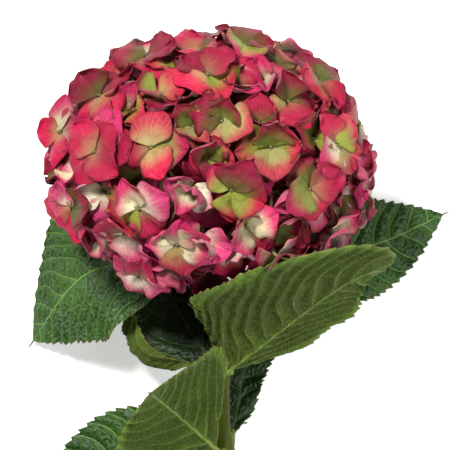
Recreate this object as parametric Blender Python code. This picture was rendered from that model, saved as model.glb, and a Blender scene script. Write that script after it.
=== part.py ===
"""A cut hydrangea: one stem, seven leaves and a round flower head, laid on its side on a table.

The head rests on the florets under it, the stem runs down to the table at its cut end,
and the upper leaves droop until their tips touch. Plan numbers are in millimetres: x to the
right and y towards the top of the head, both from the middle of the head, and z up from the table.
"""

import math

import bmesh
import bpy
from mathutils import Matrix, Vector
from mathutils.bvhtree import BVHTree

MM = 0.001
UP = Vector((0, 0, 1))
SHARP_ANGLE = math.radians(50)

# Gaps and sheet thicknesses
SEAT_GAP = 0.3
SEPAL_THICKNESS = 1.1
BLADE_THICKNESS = 1.3
LOWEST_BLADE = 0.8

# Flower head: the shell on which the floret centres sit, and its height over the table
HEAD_HEIGHT = 76.0
SHELL = Vector((91.0, 73.0, 70.0))

# Stem, from the cut end to the crown: x, y, z and radius. The wide places are the leaf joints.
STEM_ROUTE = (
    (17, -246, 3.5, 5.1),
    (15, -222, 10.5, 4.9),
    (13.5, -200, 17.5, 4.8),
    (12.5, -188, 20.5, 6.0),
    (11, -177, 23.5, 4.7),
    (9.5, -165, 27, 5.9),
    (8.5, -153, 30.5, 4.5),
    (8, -135, 35.5, 4.3),
    (7, -118, 40.5, 5.6),
    (6, -106, 44, 4.1),
    (3.5, -88, 49.5, 3.9),
    (1.5, -71, 54.5, 5.2),
    (0, -60, 57.5, 3.7),
    (-1, -44, 62, 3.6),
)
STEM_SIDES = 10
STEM_CUT_SLANT = 35.0
CROWN = Vector((-1, -40, 63))
CROWN_RADIUS = 7.0

# Flower branches: a leader and five forked side branches, each twig ending in a knob of pedicels
SIDE_BRANCHES = 5
KNOB_SHELL = Vector((48.0, 40.0, 40.0))
KNOB_RADIUS = 4.2
UPPER_KNOB_ANGLE = 62.0
LOWER_KNOB_ANGLE = 112.0
LIMB_RADIUS = 2.1
TWIG_RADIUS = 1.8
FORK_SHARE = 0.5
FORK_RADIUS = 2.5
FIRST_BRANCH = 0.25
BRANCH_SIDES = 8

# Florets: the sepal's outline as (share of its length, half width as a share of its length), how
# far it rises, and how far a floret slides in and turns where it would meet another
SEPAL_ROWS = ((0.40, 0.35), (0.74, 0.43))
SEPALS = 4
SEPAL_SHARES = (1.0, 0.91, 0.96, 0.87)
SEPAL_RISE = 0.10
RISE_CHANGE = 0.12
SIDE_LIFT = 0.06
HUB_RADIUS = 1.9
PEDICEL_RADIUS = 0.85
PEDICEL_BEND = 0.35
PEDICEL_LEAN = 0.15
FLORET_WIDTH = 45.0
FACING_DOWN = -0.75
PRESS_LIMIT = 9.0
SLIDE_STEP = 1.5
SLIDE_STEPS = 20
TURNS = (0, 15, -15, 30, -30, 45)
STEM_OPENING = 34.0
BACK_SPACING = 34.0
FLORET_COUNT = 46
SPIRAL_POINTS = 900
GOLDEN_ANGLE = math.radians(137.508)

# The florets that face up from the table: x, y, width, and the heading of the longest sepal
FRONT_FLORETS = (
    (-31, 8, 46, -90),
    (56, -14, 46, 22),
    (13, -15, 46, -115),
    (36, 9, 44, 95),
    (72, 10, 45, 50),
    (-76, -24, 45, 205),
    (-38, -25, 44, 200),
    (-50, -43, 45, -120),
    (21, 67, 45, 75),
    (-34, 61, 44, 160),
    (-60, 38, 44, 110),
    (63, 46, 44, 60),
    (-17, -46, 42, -75),
    (39, -52, 42, -80),
    (70, -39, 42, -60),
    (-39, -63, 42, -100),
    (-83, 18, 44, 190),
    (0, 49, 44, 215),
    (46, 36, 42, 140),
    (-28, 40, 42, 20),
    (89, -13, 42, 10),
    (8, 24, 40, 160),
)


class Leaf:
    """Where a leaf grows, the midrib's route, the way its upper side faces and how its halves fold.

    The faces are given at the blade's base and tip. Each half has a width and two fold angles,
    for its inner and outer strip, at the base and at the tip, rising towards the upper side.
    The first half lies on the side of face x heading. A bell above 1 puts the widest place
    nearer the tip, and one below 1 nearer the base. A lobe widens the second half at its base.
    """

    def __init__(self, name, joint, midrib, face, widths, bell, folds, colour, lobe=0):
        self.name = name
        self.joint = Vector(joint)
        self.midrib = [Vector(point) for point in midrib]
        self.face = [Vector(end).normalized() for end in face]
        self.widths = widths
        self.bell = bell
        self.folds = folds
        self.colour = colour
        self.lobe = lobe


DARK_GREEN = (0.012, 0.075, 0.022)
SHADE_GREEN = (0.008, 0.035, 0.012)
MATT_GREEN = (0.075, 0.12, 0.035)
UPPER_JOINT = (1.5, -71, 54.5)
MIDDLE_JOINT = (7, -118, 40.5)
LOWER_JOINT = (9.5, -165, 27)
BOTTOM_JOINT = (12.5, -188, 20.5)
LEAVES = (
    Leaf(
        "leaf_upper_left",
        UPPER_JOINT,
        ((-14, -66, 50), (-36, -60, 44), (-62, -59, 35), (-82, -72, 24), (-102, -104, 2)),
        ((-0.1, 0.5, 0.85), (-0.45, 0.2, 0.85)),
        (39, 47),
        1.15,
        (((-4, -12), (-2, -10)), ((-6, -16), (-4, -10))),
        DARK_GREEN,
    ),
    Leaf(
        "leaf_upper_right",
        UPPER_JOINT,
        ((17, -68, 49), (48, -61, 36), (80, -51, 26), (108, -42, 15), (136, -28, 2)),
        ((0.1, 0.3, 0.95), (0.45, 0.2, 0.88)),
        (33, 27),
        0.9,
        (((-4, -12), (-2, -10)), ((-6, -16), (-4, -10))),
        DARK_GREEN,
    ),
    Leaf(
        "leaf_middle_front",
        MIDDLE_JOINT,
        ((12, -117, 46), (29, -104, 59), (50, -87, 76), (73, -70, 89), (91, -61, 87), (101, -60, 75)),
        ((-0.16, 0.8, -0.58), (-0.38, 0.72, -0.58)),
        (42, 60),
        0.7,
        (((22, 18), (4, 0)), ((16, 22), (-14, -20))),
        MATT_GREEN,
        lobe=0.95,
    ),
    Leaf(
        "leaf_middle_back",
        MIDDLE_JOINT,
        ((2, -114, 31), (-4, -106, 27), (-11, -96, 22), (-19, -82, 16), (-27, -66, 10), (-36, -50, 4)),
        ((0.1, -0.1, 1), (0.1, 0.1, 1)),
        (37, 30),
        0.8,
        (((4, 14), (20, 30)), ((6, 4), (6, 4))),
        SHADE_GREEN,
    ),
    Leaf(
        "leaf_lower_front",
        LOWER_JOINT,
        ((3, -163, 46), (-7, -153, 60), (-18, -142, 78), (-27, -133, 100), (-33, -127, 122)),
        ((-0.45, 0.5, -0.72), (-0.7, 0.62, -0.2)),
        (46, 46),
        0.9,
        (((28, 42), (-8, -8)), ((0, 4), (4, 8))),
        MATT_GREEN,
    ),
    Leaf(
        "leaf_lower_back",
        LOWER_JOINT,
        ((14, -156, 20), (18, -140, 14), (21, -122, 10), (32, -104, 7), (47, -90, 5), (64, -76, 3)),
        ((0, 0, 1), (0, 0, 1)),
        (20, 12),
        0.8,
        (((12, 20), (8, 10)), ((12, 20), (8, 10))),
        SHADE_GREEN,
    ),
    Leaf(
        "leaf_bottom_left",
        BOTTOM_JOINT,
        ((1, -182, 18), (-22, -174, 16), (-48, -171, 13), (-74, -178, 8), (-102, -195, 2)),
        ((0, 0.1, 1), (-0.2, 0, 1)),
        (31, 30),
        0.85,
        (((4, -4), (2, -6)), ((4, -4), (2, -6))),
        DARK_GREEN,
    ),
)

# The blade's outline, its mesh and its stalk
ROUNDNESS = 0.8
TIP_TAPER = 0.3
LOBE_FADE = 2
LEAF_STATIONS = 10
LEAF_COLUMNS = 4
STALK_RADIUS = 1.9
STALK_BENDS = 3

# Colours and roughness
PETAL_RED = (0.52, 0.03, 0.06)
PETAL_CORAL = (0.62, 0.10, 0.07)
PETAL_LIME = (0.35, 0.38, 0.06)
BRANCH_GREEN = (0.30, 0.28, 0.10)
STEM_GREEN = (0.20, 0.27, 0.05)
PETAL_ROUGHNESS = 0.6
STEM_ROUGHNESS = 0.55
LEAF_ROUGHNESS = 0.45


def remove_everything():
    for item in list(bpy.data.objects):
        bpy.data.objects.remove(item, do_unlink=True)


def plant_material(name, colour, roughness):
    material = bpy.data.materials.new(name)
    material.use_nodes = True
    surface = material.node_tree.nodes["Principled BSDF"]
    surface.inputs["Base Color"].default_value = (*colour, 1)
    surface.inputs["Roughness"].default_value = roughness
    surface.inputs["Metallic"].default_value = 0
    return material


def new_piece(name, bm, colour, roughness=STEM_ROUGHNESS, place=Matrix.Identity(4)):
    """Turns plan millimetres into an object in metres, under the plant's own empty."""
    bmesh.ops.recalc_face_normals(bm, faces=bm.faces)
    bm.transform(Matrix.Scale(MM, 4))
    mesh = bpy.data.meshes.new(name)
    bm.to_mesh(mesh)
    bm.free()
    mesh.shade_smooth()
    mesh.set_sharp_from_angle(angle=SHARP_ANGLE)
    mesh.materials.append(plant_material(name, colour, roughness))
    piece = bpy.data.objects.new(name, mesh)
    bpy.context.scene.collection.objects.link(piece)
    piece.matrix_world = place
    piece.parent = bpy.data.objects["hydrangea"]
    return piece


def add_union(piece, bm, name):
    """Joins one more closed solid to a piece, and keeps it as a hidden guide."""
    guide = new_piece(name, bm, BRANCH_GREEN)
    guide.hide_render = True
    guide.display_type = "WIRE"
    joint = piece.modifiers.new(name, "BOOLEAN")
    joint.operation = "UNION"
    joint.solver = "EXACT"
    joint.object = guide


def smooth_route(points, steps):
    """Points along a Catmull-Rom curve through the given ones, ends included."""
    ends = [points[0] * 2 - points[1]] + list(points) + [points[-1] * 2 - points[-2]]
    route = []
    spans = len(points) - 1
    for step in range(steps + 1):
        where = step / steps * spans
        span = min(int(where), spans - 1)
        t = where - span
        before, start, end, after = ends[span : span + 4]
        route.append(
            (
                start * 2
                + (end - before) * t
                + (before * 2 - start * 5 + end * 4 - after) * t**2
                + (start * 3 - before - end * 3 + after) * t**3
            )
            / 2
        )
    return route


def directions(route):
    """The unit direction of travel at each point of a route."""
    ahead = route[1:] + route[-1:]
    behind = route[:1] + route[:-1]
    return [(a - b).normalized() for a, b in zip(ahead, behind)]


def add_tube(bm, route, radii, sides):
    """A round bar along a route, closed at both ends."""
    rings = []
    for point, heading, radius in zip(route, directions(route), radii):
        turn = UP.rotation_difference(heading).to_matrix().to_4x4()
        ring = bmesh.ops.create_circle(
            bm, segments=sides, radius=radius, matrix=Matrix.Translation(point) @ turn
        )["verts"]
        bm.edges.index_update()
        rings.append(sorted({edge for vert in ring for edge in vert.link_edges}, key=lambda edge: edge.index))
    for near, far in zip(rings, rings[1:]):
        bmesh.ops.bridge_loops(bm, edges=near + far)
    for end in (rings[0], rings[-1]):
        bmesh.ops.contextual_create(bm, geom=end)


def round_bar(start, end, first_radius, last_radius):
    bm = bmesh.new()
    add_tube(bm, [start, end], (first_radius, last_radius), BRANCH_SIDES)
    return bm


def ball(centre, radius):
    bm = bmesh.new()
    bmesh.ops.create_icosphere(bm, subdivisions=2, radius=radius, matrix=Matrix.Translation(centre))
    return bm


def make_stem():
    bm = bmesh.new()
    route = [Vector(stop[:3]) for stop in STEM_ROUTE]
    radii = [stop[3] for stop in STEM_ROUTE]
    add_tube(bm, route, radii, STEM_SIDES)
    along = (route[0] - route[1]).normalized()
    slant = Matrix.Rotation(math.radians(STEM_CUT_SLANT), 3, "Z")
    cut = bmesh.ops.bisect_plane(
        bm,
        geom=bm.verts[:] + bm.edges[:] + bm.faces[:],
        plane_co=route[0] - along * radii[0],
        plane_no=slant @ along,
        clear_outer=True,
    )
    rim = [item for item in cut["geom_cut"] if isinstance(item, bmesh.types.BMEdge)]
    bmesh.ops.contextual_create(bm, geom=rim)
    stem = new_piece("stem", bm, STEM_GREEN)
    add_union(stem, ball(CROWN, CROWN_RADIUS), "guide_crown")


def on_shell(shell, angle_from_top, around):
    """A point of an oval shell about the head's middle, by its angle from the top and its turn about y."""
    side = math.sin(angle_from_top)
    unit = Vector((side * math.cos(around), math.cos(angle_from_top), side * math.sin(around)))
    return Vector((unit.x * shell.x, unit.y * shell.y, unit.z * shell.z + HEAD_HEIGHT))


def make_branches():
    """The leader and the forked side branches. Returns the middle of each knob."""
    knobs = []
    top = on_shell(KNOB_SHELL, 0, 0)
    heading = (top - CROWN).normalized()
    start = CROWN + heading * (CROWN_RADIUS + SEAT_GAP)
    leader = new_piece("branch_leader", round_bar(start, top, LIMB_RADIUS, TWIG_RADIUS), BRANCH_GREEN)
    add_union(leader, ball(top, KNOB_RADIUS), "guide_leader_knob")
    knobs.append(top)
    for number in range(SIDE_BRANCHES):
        around = math.tau * (number + FIRST_BRANCH) / SIDE_BRANCHES
        step = math.tau / SIDE_BRANCHES / 4
        upper = on_shell(KNOB_SHELL, math.radians(UPPER_KNOB_ANGLE), around - step)
        lower = on_shell(KNOB_SHELL, math.radians(LOWER_KNOB_ANGLE), around + step)
        fork = CROWN.lerp((upper + lower) / 2, FORK_SHARE)
        heading = (fork - CROWN).normalized()
        start = CROWN + heading * (CROWN_RADIUS + SEAT_GAP)
        name = f"branch_{number + 1}"
        branch = new_piece(name, round_bar(start, fork, LIMB_RADIUS, LIMB_RADIUS), BRANCH_GREEN)
        add_union(branch, ball(fork, FORK_RADIUS), f"guide_{name}_fork")
        for place, knob in (("upper", upper), ("lower", lower)):
            add_union(branch, round_bar(fork, knob, TWIG_RADIUS, TWIG_RADIUS), f"guide_{name}_{place}")
            add_union(branch, ball(knob, KNOB_RADIUS), f"guide_{name}_{place}_knob")
            knobs.append(knob)
    return knobs


def blade_outline(share, bell):
    """The blade's half width along the midrib, as a share of its widest half width."""
    taper = 1 - TIP_TAPER * share**8
    return math.sin(math.pi * share**bell) ** ROUNDNESS * taper


def cross_section(folds, share, across):
    """How far out and up a half blade reaches, as shares of its width, at a share of that width."""
    inner, outer = (math.radians(base + (tip - base) * share) for base, tip in zip(*folds))
    near = min(across, 0.5)
    far = max(across - 0.5, 0)
    outward = near * math.cos(inner) + far * math.cos(outer)
    upward = near * math.sin(inner) + far * math.sin(outer)
    return outward, upward


def make_leaf(leaf):
    route = smooth_route(leaf.midrib, LEAF_STATIONS)
    headings = directions(route)
    bm = bmesh.new()
    bmesh.ops.create_grid(bm, x_segments=LEAF_STATIONS, y_segments=LEAF_COLUMNS, size=0.5)
    tip_row = []
    for vert in bm.verts:
        share = vert.co.x + 0.5
        across = vert.co.y * 2
        station = round(share * LEAF_STATIONS)
        face = leaf.face[0].lerp(leaf.face[1], share)
        side = face.cross(headings[station]).normalized()
        lift = headings[station].cross(side)
        half = 0 if across > 0 else 1
        outline = blade_outline(share, leaf.bell)
        if half == 1 and station > 0:
            outline = max(outline, leaf.lobe * (1 - LOBE_FADE * share))
        reach = max(leaf.widths[half] * outline, STALK_RADIUS)
        outward, upward = cross_section(leaf.folds[half], share, abs(across))
        vert.co = route[station] + (side * math.copysign(outward, across) + lift * upward) * reach
        vert.co.z = max(vert.co.z, LOWEST_BLADE)
        if station == LEAF_STATIONS:
            tip_row.append(vert)
    bmesh.ops.pointmerge(bm, verts=tip_row, merge_co=route[-1])
    bmesh.ops.recalc_face_normals(bm, faces=bm.faces)
    if sum(face.normal.dot(leaf.face[0]) for face in bm.faces) < 0:
        bmesh.ops.reverse_faces(bm, faces=bm.faces)
    bmesh.ops.solidify(bm, geom=bm.faces, thickness=BLADE_THICKNESS)
    add_stalk(bm, leaf, route[0], headings[0])
    new_piece(leaf.name, bm, leaf.colour, LEAF_ROUGHNESS)


def add_stalk(bm, leaf, blade_base, heading):
    """Draws the blade's base rim out into a round stalk that ends just off the stem."""
    rim = [
        face
        for face in bm.faces
        if all(abs((vert.co - blade_base).dot(heading)) < BLADE_THICKNESS for vert in face.verts)
        and (face.calc_center_median() - blade_base).length < STALK_RADIUS * 1.5
    ]
    root, outward = stalk_root(leaf, blade_base)
    route = smooth_route([blade_base, root + outward * STALK_RADIUS * 2, root], STALK_BENDS)
    frames = directions(route)[:-1] + [-outward]
    for point, direction in list(zip(route, frames))[1:]:
        grown = bmesh.ops.extrude_face_region(bm, geom=rim)["geom"]
        bmesh.ops.delete(bm, geom=rim, context="FACES_KEEP_BOUNDARY")
        verts = [item for item in grown if isinstance(item, bmesh.types.BMVert)]
        rim = [item for item in grown if isinstance(item, bmesh.types.BMFace)]
        middle = sum((vert.co for vert in verts), Vector()) / len(verts)
        across = leaf.face[0].cross(direction).normalized()
        lift = direction.cross(across)
        for vert in verts:
            offset = vert.co - middle
            flat = Vector((offset.dot(across), offset.dot(lift)))
            flat = flat.normalized() * STALK_RADIUS
            vert.co = point + across * flat.x + lift * flat.y


def stalk_root(leaf, blade_base):
    """Where the stalk ends, just off the stem's leaf joint, and the way out of the stem there."""
    radius = min(STEM_ROUTE, key=lambda stop: (Vector(stop[:3]) - leaf.joint).length)[3]
    along = (CROWN - Vector(STEM_ROUTE[0][:3])).normalized()
    outward = blade_base - leaf.joint
    outward -= along * outward.dot(along)
    outward.normalize()
    return leaf.joint + outward * (radius + SEAT_GAP), outward


def front_places():
    """The hand-placed florets: middle, width and heading of the longest sepal."""
    places = []
    for x, y, width, heading in FRONT_FLORETS:
        height = 1 - (x / SHELL.x) ** 2 - (y / SHELL.y) ** 2
        middle = Vector((x, y, SHELL.z * math.sqrt(max(height, 0)) + HEAD_HEIGHT))
        places.append((middle, width, math.radians(heading)))
    return places


def back_places(taken):
    """Fills the rest of the shell evenly from a golden-angle spiral, leaving room for the stem."""
    places = []
    for number in range(SPIRAL_POINTS):
        angle_from_top = math.acos(1 - 2 * (number + 0.5) / SPIRAL_POINTS)
        middle = on_shell(SHELL, angle_from_top, number * GOLDEN_ANGLE)
        from_stem = angle_from_top > math.radians(180 - STEM_OPENING)
        crowded = any((middle - other).length < BACK_SPACING for other in taken)
        if from_stem or crowded or len(taken) >= FLORET_COUNT:
            continue
        taken.append(middle)
        places.append((middle, FLORET_WIDTH, number * GOLDEN_ANGLE))
    return places


def facing(middle):
    """The way out of the shell at a floret, half way between straight out and square to the shell."""
    out = middle - Vector((0, 0, HEAD_HEIGHT))
    square = Vector((out.x / SHELL.x**2, out.y / SHELL.y**2, out.z / SHELL.z**2)).normalized()
    return (out.normalized() + square).normalized()


def floret_frame(middle, normal, heading):
    """The floret's own axes: z out of the head, x along the longest sepal."""
    east = Vector((1, 0, 0)) if abs(normal.x) < 0.9 else Vector((0, 1, 0))
    east = (east - normal * east.dot(normal)).normalized()
    north = normal.cross(east)
    along = east * math.cos(heading) + north * math.sin(heading)
    across = normal.cross(along)
    frame = Matrix((along, across, normal)).transposed().to_4x4()
    return Matrix.Translation(middle) @ frame


def floret_shape(number, width, foot):
    """Four free sepals round a hub, thickened, with the pedicel drawn down to its foot."""
    bm = bmesh.new()
    hub = bmesh.ops.create_circle(bm, cap_ends=True, segments=SEPALS * 2, radius=HUB_RADIUS)["verts"]
    for sepal in range(SEPALS):
        turn = math.tau * sepal / SEPALS
        length = width / 2 * SEPAL_SHARES[sepal]
        along = Vector((math.cos(turn), math.sin(turn), 0))
        across = Vector((-math.sin(turn), math.cos(turn), 0))
        rise = SEPAL_RISE + RISE_CHANGE * math.sin(number * 2.1 + sepal * 1.7)
        near = [vert for vert in hub if vert.co.dot(along) > HUB_RADIUS * 0.5]
        edges = [edge for edge in bm.edges if edge.verts[0] in near and edge.verts[1] in near]
        for reach, half_width in SEPAL_ROWS:
            grown = bmesh.ops.extrude_edge_only(bm, edges=edges)["geom"]
            row = [item for item in grown if isinstance(item, bmesh.types.BMVert)]
            edges = [item for item in grown if isinstance(item, bmesh.types.BMEdge)]
            edges = [edge for edge in edges if edge.verts[0] in row and edge.verts[1] in row]
            row.sort(key=lambda vert: vert.co.dot(across))
            for vert, side in zip(row, (-1, 0, 1)):
                lift = rise * reach + SIDE_LIFT * side * side
                vert.co = along * length * reach + across * length * half_width * side + UP * length * lift
        grown = bmesh.ops.extrude_edge_only(bm, edges=edges)["geom"]
        row = [item for item in grown if isinstance(item, bmesh.types.BMVert)]
        bmesh.ops.pointmerge(bm, verts=row, merge_co=along * length + UP * length * rise)
    bmesh.ops.recalc_face_normals(bm, faces=bm.faces)
    if sum(face.normal.z for face in bm.faces) < 0:
        bmesh.ops.reverse_faces(bm, faces=bm.faces)
    bmesh.ops.solidify(bm, geom=bm.faces, thickness=SEPAL_THICKNESS)
    draw_pedicel(bm, foot)
    return bm


def draw_pedicel(bm, foot):
    discs = [face for face in bm.faces if len(face.verts) == SEPALS * 2]
    under = min(discs, key=lambda face: face.calc_center_median().z)
    start = under.calc_center_median()
    knee = start + Vector((foot.x * PEDICEL_LEAN, foot.y * PEDICEL_LEAN, foot.z * PEDICEL_BEND))
    tip = [under]
    for point, heading in ((knee, (foot - start)), (foot, (foot - knee))):
        grown = bmesh.ops.extrude_face_region(bm, geom=tip)["geom"]
        bmesh.ops.delete(bm, geom=tip, context="FACES_KEEP_BOUNDARY")
        verts = [item for item in grown if isinstance(item, bmesh.types.BMVert)]
        tip = [item for item in grown if isinstance(item, bmesh.types.BMFace)]
        turn = (-UP).rotation_difference(heading.normalized())
        for vert in verts:
            flat = Vector((vert.co.x, vert.co.y, 0)) - Vector((start.x, start.y, 0))
            vert.co = point + turn @ (flat.normalized() * PEDICEL_RADIUS)
        start = point


def pedicel_foot(middle, knobs):
    """The end of the pedicel: just off the nearest knob."""
    knob = min(knobs, key=lambda place: (place - middle).length)
    return knob + (middle - knob).normalized() * (KNOB_RADIUS + SEAT_GAP)


def surface_tree(piece):
    depsgraph = bpy.context.evaluated_depsgraph_get()
    mesh = piece.evaluated_get(depsgraph).to_mesh()
    points = [piece.matrix_world @ vert.co for vert in mesh.vertices]
    faces = [tuple(face.vertices) for face in mesh.polygons]
    return BVHTree.FromPolygons(points, faces)


def grow_floret(number, width, frame, knobs, planted):
    """Shapes a floret at its place. Returns None where it would run into what is planted."""
    bm = floret_shape(number, width, frame.inverted() @ pedicel_foot(frame.translation, knobs))
    points = [frame @ vert.co * MM for vert in bm.verts]
    faces = [tuple(vert.index for vert in face.verts) for face in bm.faces]
    tree = BVHTree.FromPolygons(points, faces)
    if any(tree.overlap(other) for other in planted):
        bm.free()
        return None
    return bm, tree, frame


def lay_on_table(number, width, grown, knobs, planted):
    """Lowers a floret that faces the table until its lowest sepal touches, where it has room."""
    bm, tree, frame = grown
    drop = min((frame @ vert.co).z for vert in bm.verts)
    if drop > PRESS_LIMIT:
        return grown
    lowered = Matrix.Translation(-UP * drop) @ frame
    return grow_floret(number, width, lowered, knobs, planted) or grown


def plant_floret(number, place, knobs, planted):
    """Turns a floret, and slides it into the head, until it is clear of all that is planted."""
    middle, width, heading = place
    normal = facing(middle)
    for step in range(SLIDE_STEPS):
        spot = middle - normal * step * SLIDE_STEP
        for turn in TURNS:
            frame = floret_frame(spot, normal, heading + math.radians(turn))
            grown = grow_floret(number, width, frame, knobs, planted)
            if grown and normal.z < FACING_DOWN:
                return lay_on_table(number, width, grown, knobs, planted)
            if grown:
                return grown
    raise RuntimeError(f"floret {number} has no room")


def make_florets(knobs, planted):
    places = front_places()
    places += back_places([place[0] for place in places])
    for number, place in enumerate(places, start=1):
        bm, tree, frame = plant_floret(number, place, knobs, planted)
        planted.append(tree)
        colour = (PETAL_RED, PETAL_CORAL, PETAL_LIME)[number % 3]
        location, rotation, scale = frame.decompose()
        in_metres = Matrix.LocRotScale(location * MM, rotation, scale)
        new_piece(f"floret_{number:02d}", bm, colour, PETAL_ROUGHNESS, in_metres)


def stand_on_origin(plant):
    """Moves the whole plant so that the middle of its underside is the origin."""
    bpy.context.view_layer.update()
    depsgraph = bpy.context.evaluated_depsgraph_get()
    corners = []
    for item in bpy.data.objects:
        if item.type == "MESH" and not item.hide_render:
            mesh = item.evaluated_get(depsgraph).to_mesh()
            corners += [item.matrix_world @ vert.co for vert in mesh.vertices]
    low = Vector([min(corner[axis] for corner in corners) for axis in range(3)])
    high = Vector([max(corner[axis] for corner in corners) for axis in range(3)])
    plant.location = (-(low.x + high.x) / 2, -(low.y + high.y) / 2, -low.z)


def main():
    remove_everything()
    plant = bpy.data.objects.new("hydrangea", None)
    bpy.context.scene.collection.objects.link(plant)
    make_stem()
    knobs = make_branches()
    for leaf in LEAVES:
        make_leaf(leaf)
    bpy.context.view_layer.update()
    pieces = [item for item in bpy.data.objects if item.type == "MESH" and not item.hide_render]
    planted = [surface_tree(piece) for piece in pieces]
    make_florets(knobs, planted)
    stand_on_origin(plant)


main()
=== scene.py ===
"""A cut hydrangea lying on a table: the finished flower head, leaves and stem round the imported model.

Run as a script, it builds every piece at its place in the frame. Its layout is that of an add-on
with one operator for each kind of piece, settings for what a user would change, and a side panel.
Plan places are in millimetres from the middle of the flower head: x to the right, y towards the
top of the head and z up from the table.
"""

import math
import random

import bmesh
import bpy
from bpy.props import FloatProperty, FloatVectorProperty, IntProperty, PointerProperty
from bpy.types import Operator, Panel, PropertyGroup
from mathutils import Matrix, Vector


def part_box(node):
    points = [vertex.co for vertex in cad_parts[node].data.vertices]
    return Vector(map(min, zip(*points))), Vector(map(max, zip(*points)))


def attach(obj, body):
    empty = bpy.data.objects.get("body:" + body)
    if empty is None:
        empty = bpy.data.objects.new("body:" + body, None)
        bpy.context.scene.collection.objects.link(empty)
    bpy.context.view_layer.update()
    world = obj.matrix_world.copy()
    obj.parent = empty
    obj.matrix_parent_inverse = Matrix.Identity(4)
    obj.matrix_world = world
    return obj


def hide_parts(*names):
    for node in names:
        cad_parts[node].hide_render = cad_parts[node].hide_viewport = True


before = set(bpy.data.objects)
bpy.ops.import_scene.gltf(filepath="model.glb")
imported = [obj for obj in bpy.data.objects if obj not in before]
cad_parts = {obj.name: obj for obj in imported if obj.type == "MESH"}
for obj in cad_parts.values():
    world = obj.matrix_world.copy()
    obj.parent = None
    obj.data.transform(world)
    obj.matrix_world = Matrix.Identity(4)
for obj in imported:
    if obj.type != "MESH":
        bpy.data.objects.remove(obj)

bl_info = {
    "name": "Cut Hydrangea",
    "version": (1, 0, 0),
    "blender": (4, 5, 0),
    "location": "View3D > Sidebar > Hydrangea",
    "description": "Builds the flower head, leaves and stem of a cut hydrangea",
    "category": "Object",
}

MM = 0.001
UP = Vector((0, 0, 1))
BODY = "root"
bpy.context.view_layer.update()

# Places in the lists of finishes: on florets and leaves, and on the stem
FACE, BACK, STALK, BUD = range(4)
PITH = 1

# The flower head's shell, the knobs on its branches and the least height over the table, in mm
SHELL = Vector((91, 73, 70))
KNOB_RADIUS = 4.2
LEADER_REACH = 40
TABLE_CLEARANCE = 0.35

# The stem from the cut end to the crown: x, y, z and radius, widest at the leaf joints
STEM_ROUTE = (
    (17, -246, 3.5, 5.1),
    (15, -222, 10.5, 4.9),
    (13.5, -200, 17.5, 4.8),
    (12.5, -188, 20.5, 6.0),
    (11, -177, 23.5, 4.7),
    (9.5, -165, 27, 5.9),
    (8.5, -153, 30.5, 4.5),
    (8, -135, 35.5, 4.3),
    (7, -118, 40.5, 5.6),
    (6, -106, 44, 4.1),
    (3.5, -88, 49.5, 3.9),
    (1.5, -71, 54.5, 5.2),
    (0, -60, 57.5, 3.7),
    (-1, -44, 62, 3.6),
)
CROWN = Vector((-1, -40, 63))
CROWN_RADIUS = 7
CROWN_TRIM = 0.96
CUT_SLANT = math.radians(35)
STEM_STEPS = 110
STEM_RING_RATE = 0.9
STEM_RING_HEIGHT = 0.00006
CUT_BARK = 0.0007
PITH_RIM = 0.0012
PITH_DEPTH = 0.0004

# Lights, placed from the head's middle, and the plan place in the middle of the view
KEY_PLACE = Vector((-0.48, 0.66, 1.35))
KEY_SIZE = 0.3
KEY_COLOUR = (1, 0.985, 0.96)
FILL_PLACE = Vector((1.0, -0.5, 1.2))
FILL_SIZE = 1.2
FILL_COLOUR = (0.94, 0.97, 1)
WORLD_STRENGTH = 0.08
FLOOR_GLOW = 0.50
VIEW_MIDDLE = (9.7, -34.2)
FARTHEST_SEEN = 20


def colour_setting(name, description, default):
    return FloatVectorProperty(
        name=name, description=description, default=default, subtype="COLOR", size=3, min=0, max=1
    )


class FloretSettings(PropertyGroup):
    sepal_thickness: FloatProperty(
        name="Sepal thickness", description="Thickness of one sepal", default=0.0004, unit="LENGTH"
    )
    breadth: FloatProperty(
        name="Breadth", description="Half width of a sepal as a share of its length", default=0.60
    )
    rows: IntProperty(name="Rows", description="Faces along a sepal", default=14)
    columns: IntProperty(name="Columns", description="Faces across a sepal", default=10)
    bud_radius: FloatProperty(
        name="Bud radius", description="Radius of the closed bud", default=0.0014, unit="LENGTH"
    )
    pedicel_radius: FloatProperty(
        name="Pedicel radius", description="Radius of a floret's stalk", default=0.0007, unit="LENGTH"
    )
    filling: IntProperty(
        name="Filling florets", description="Florets that fill the gaps in the head", default=44
    )
    under_layer: IntProperty(
        name="Under layer", description="Florets deep inside the head", default=26
    )
    seed: IntProperty(name="Seed", description="Start of the chance draws", default=7)


class LeafSettings(PropertyGroup):
    thickness: FloatProperty(
        name="Blade thickness", description="Thickness of a blade", default=0.00055, unit="LENGTH"
    )
    stations: IntProperty(name="Stations", description="Faces along a blade", default=200)
    columns: IntProperty(name="Columns", description="Faces across a blade", default=72)
    tooth_depth: FloatProperty(
        name="Tooth depth", description="Depth of the margin's teeth", default=0.0021, unit="LENGTH"
    )
    tooth_spacing: FloatProperty(
        name="Tooth spacing", description="Length of one tooth", default=0.0047, unit="LENGTH"
    )
    pucker: FloatProperty(
        name="Pucker", description="Height of the quilting between veins", default=0.0030, unit="LENGTH"
    )
    face_green: colour_setting("Face green", "Darker colour of the glossy side", (0.008, 0.036, 0.002))
    face_light: colour_setting("Face light", "Lighter colour of the glossy side", (0.027, 0.084, 0.003))
    vein_green: colour_setting("Vein green", "Colour of the veins", (0.22, 0.31, 0.05))


class StemSettings(PropertyGroup):
    sides: IntProperty(name="Sides", description="Faces round the stem", default=40)
    # The stem's green and blush are darkened as painted shade, because the stem lies in shade under the
    # leaves
    green: colour_setting("Stem green", "Colour of the stem's skin", (0.050, 0.075, 0.003))
    blush: colour_setting("Stem blush", "Colour of the streaks on the skin", (0.085, 0.060, 0.006))
    branch: colour_setting("Branch green", "Colour of the flower branches", (0.36, 0.33, 0.12))


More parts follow.
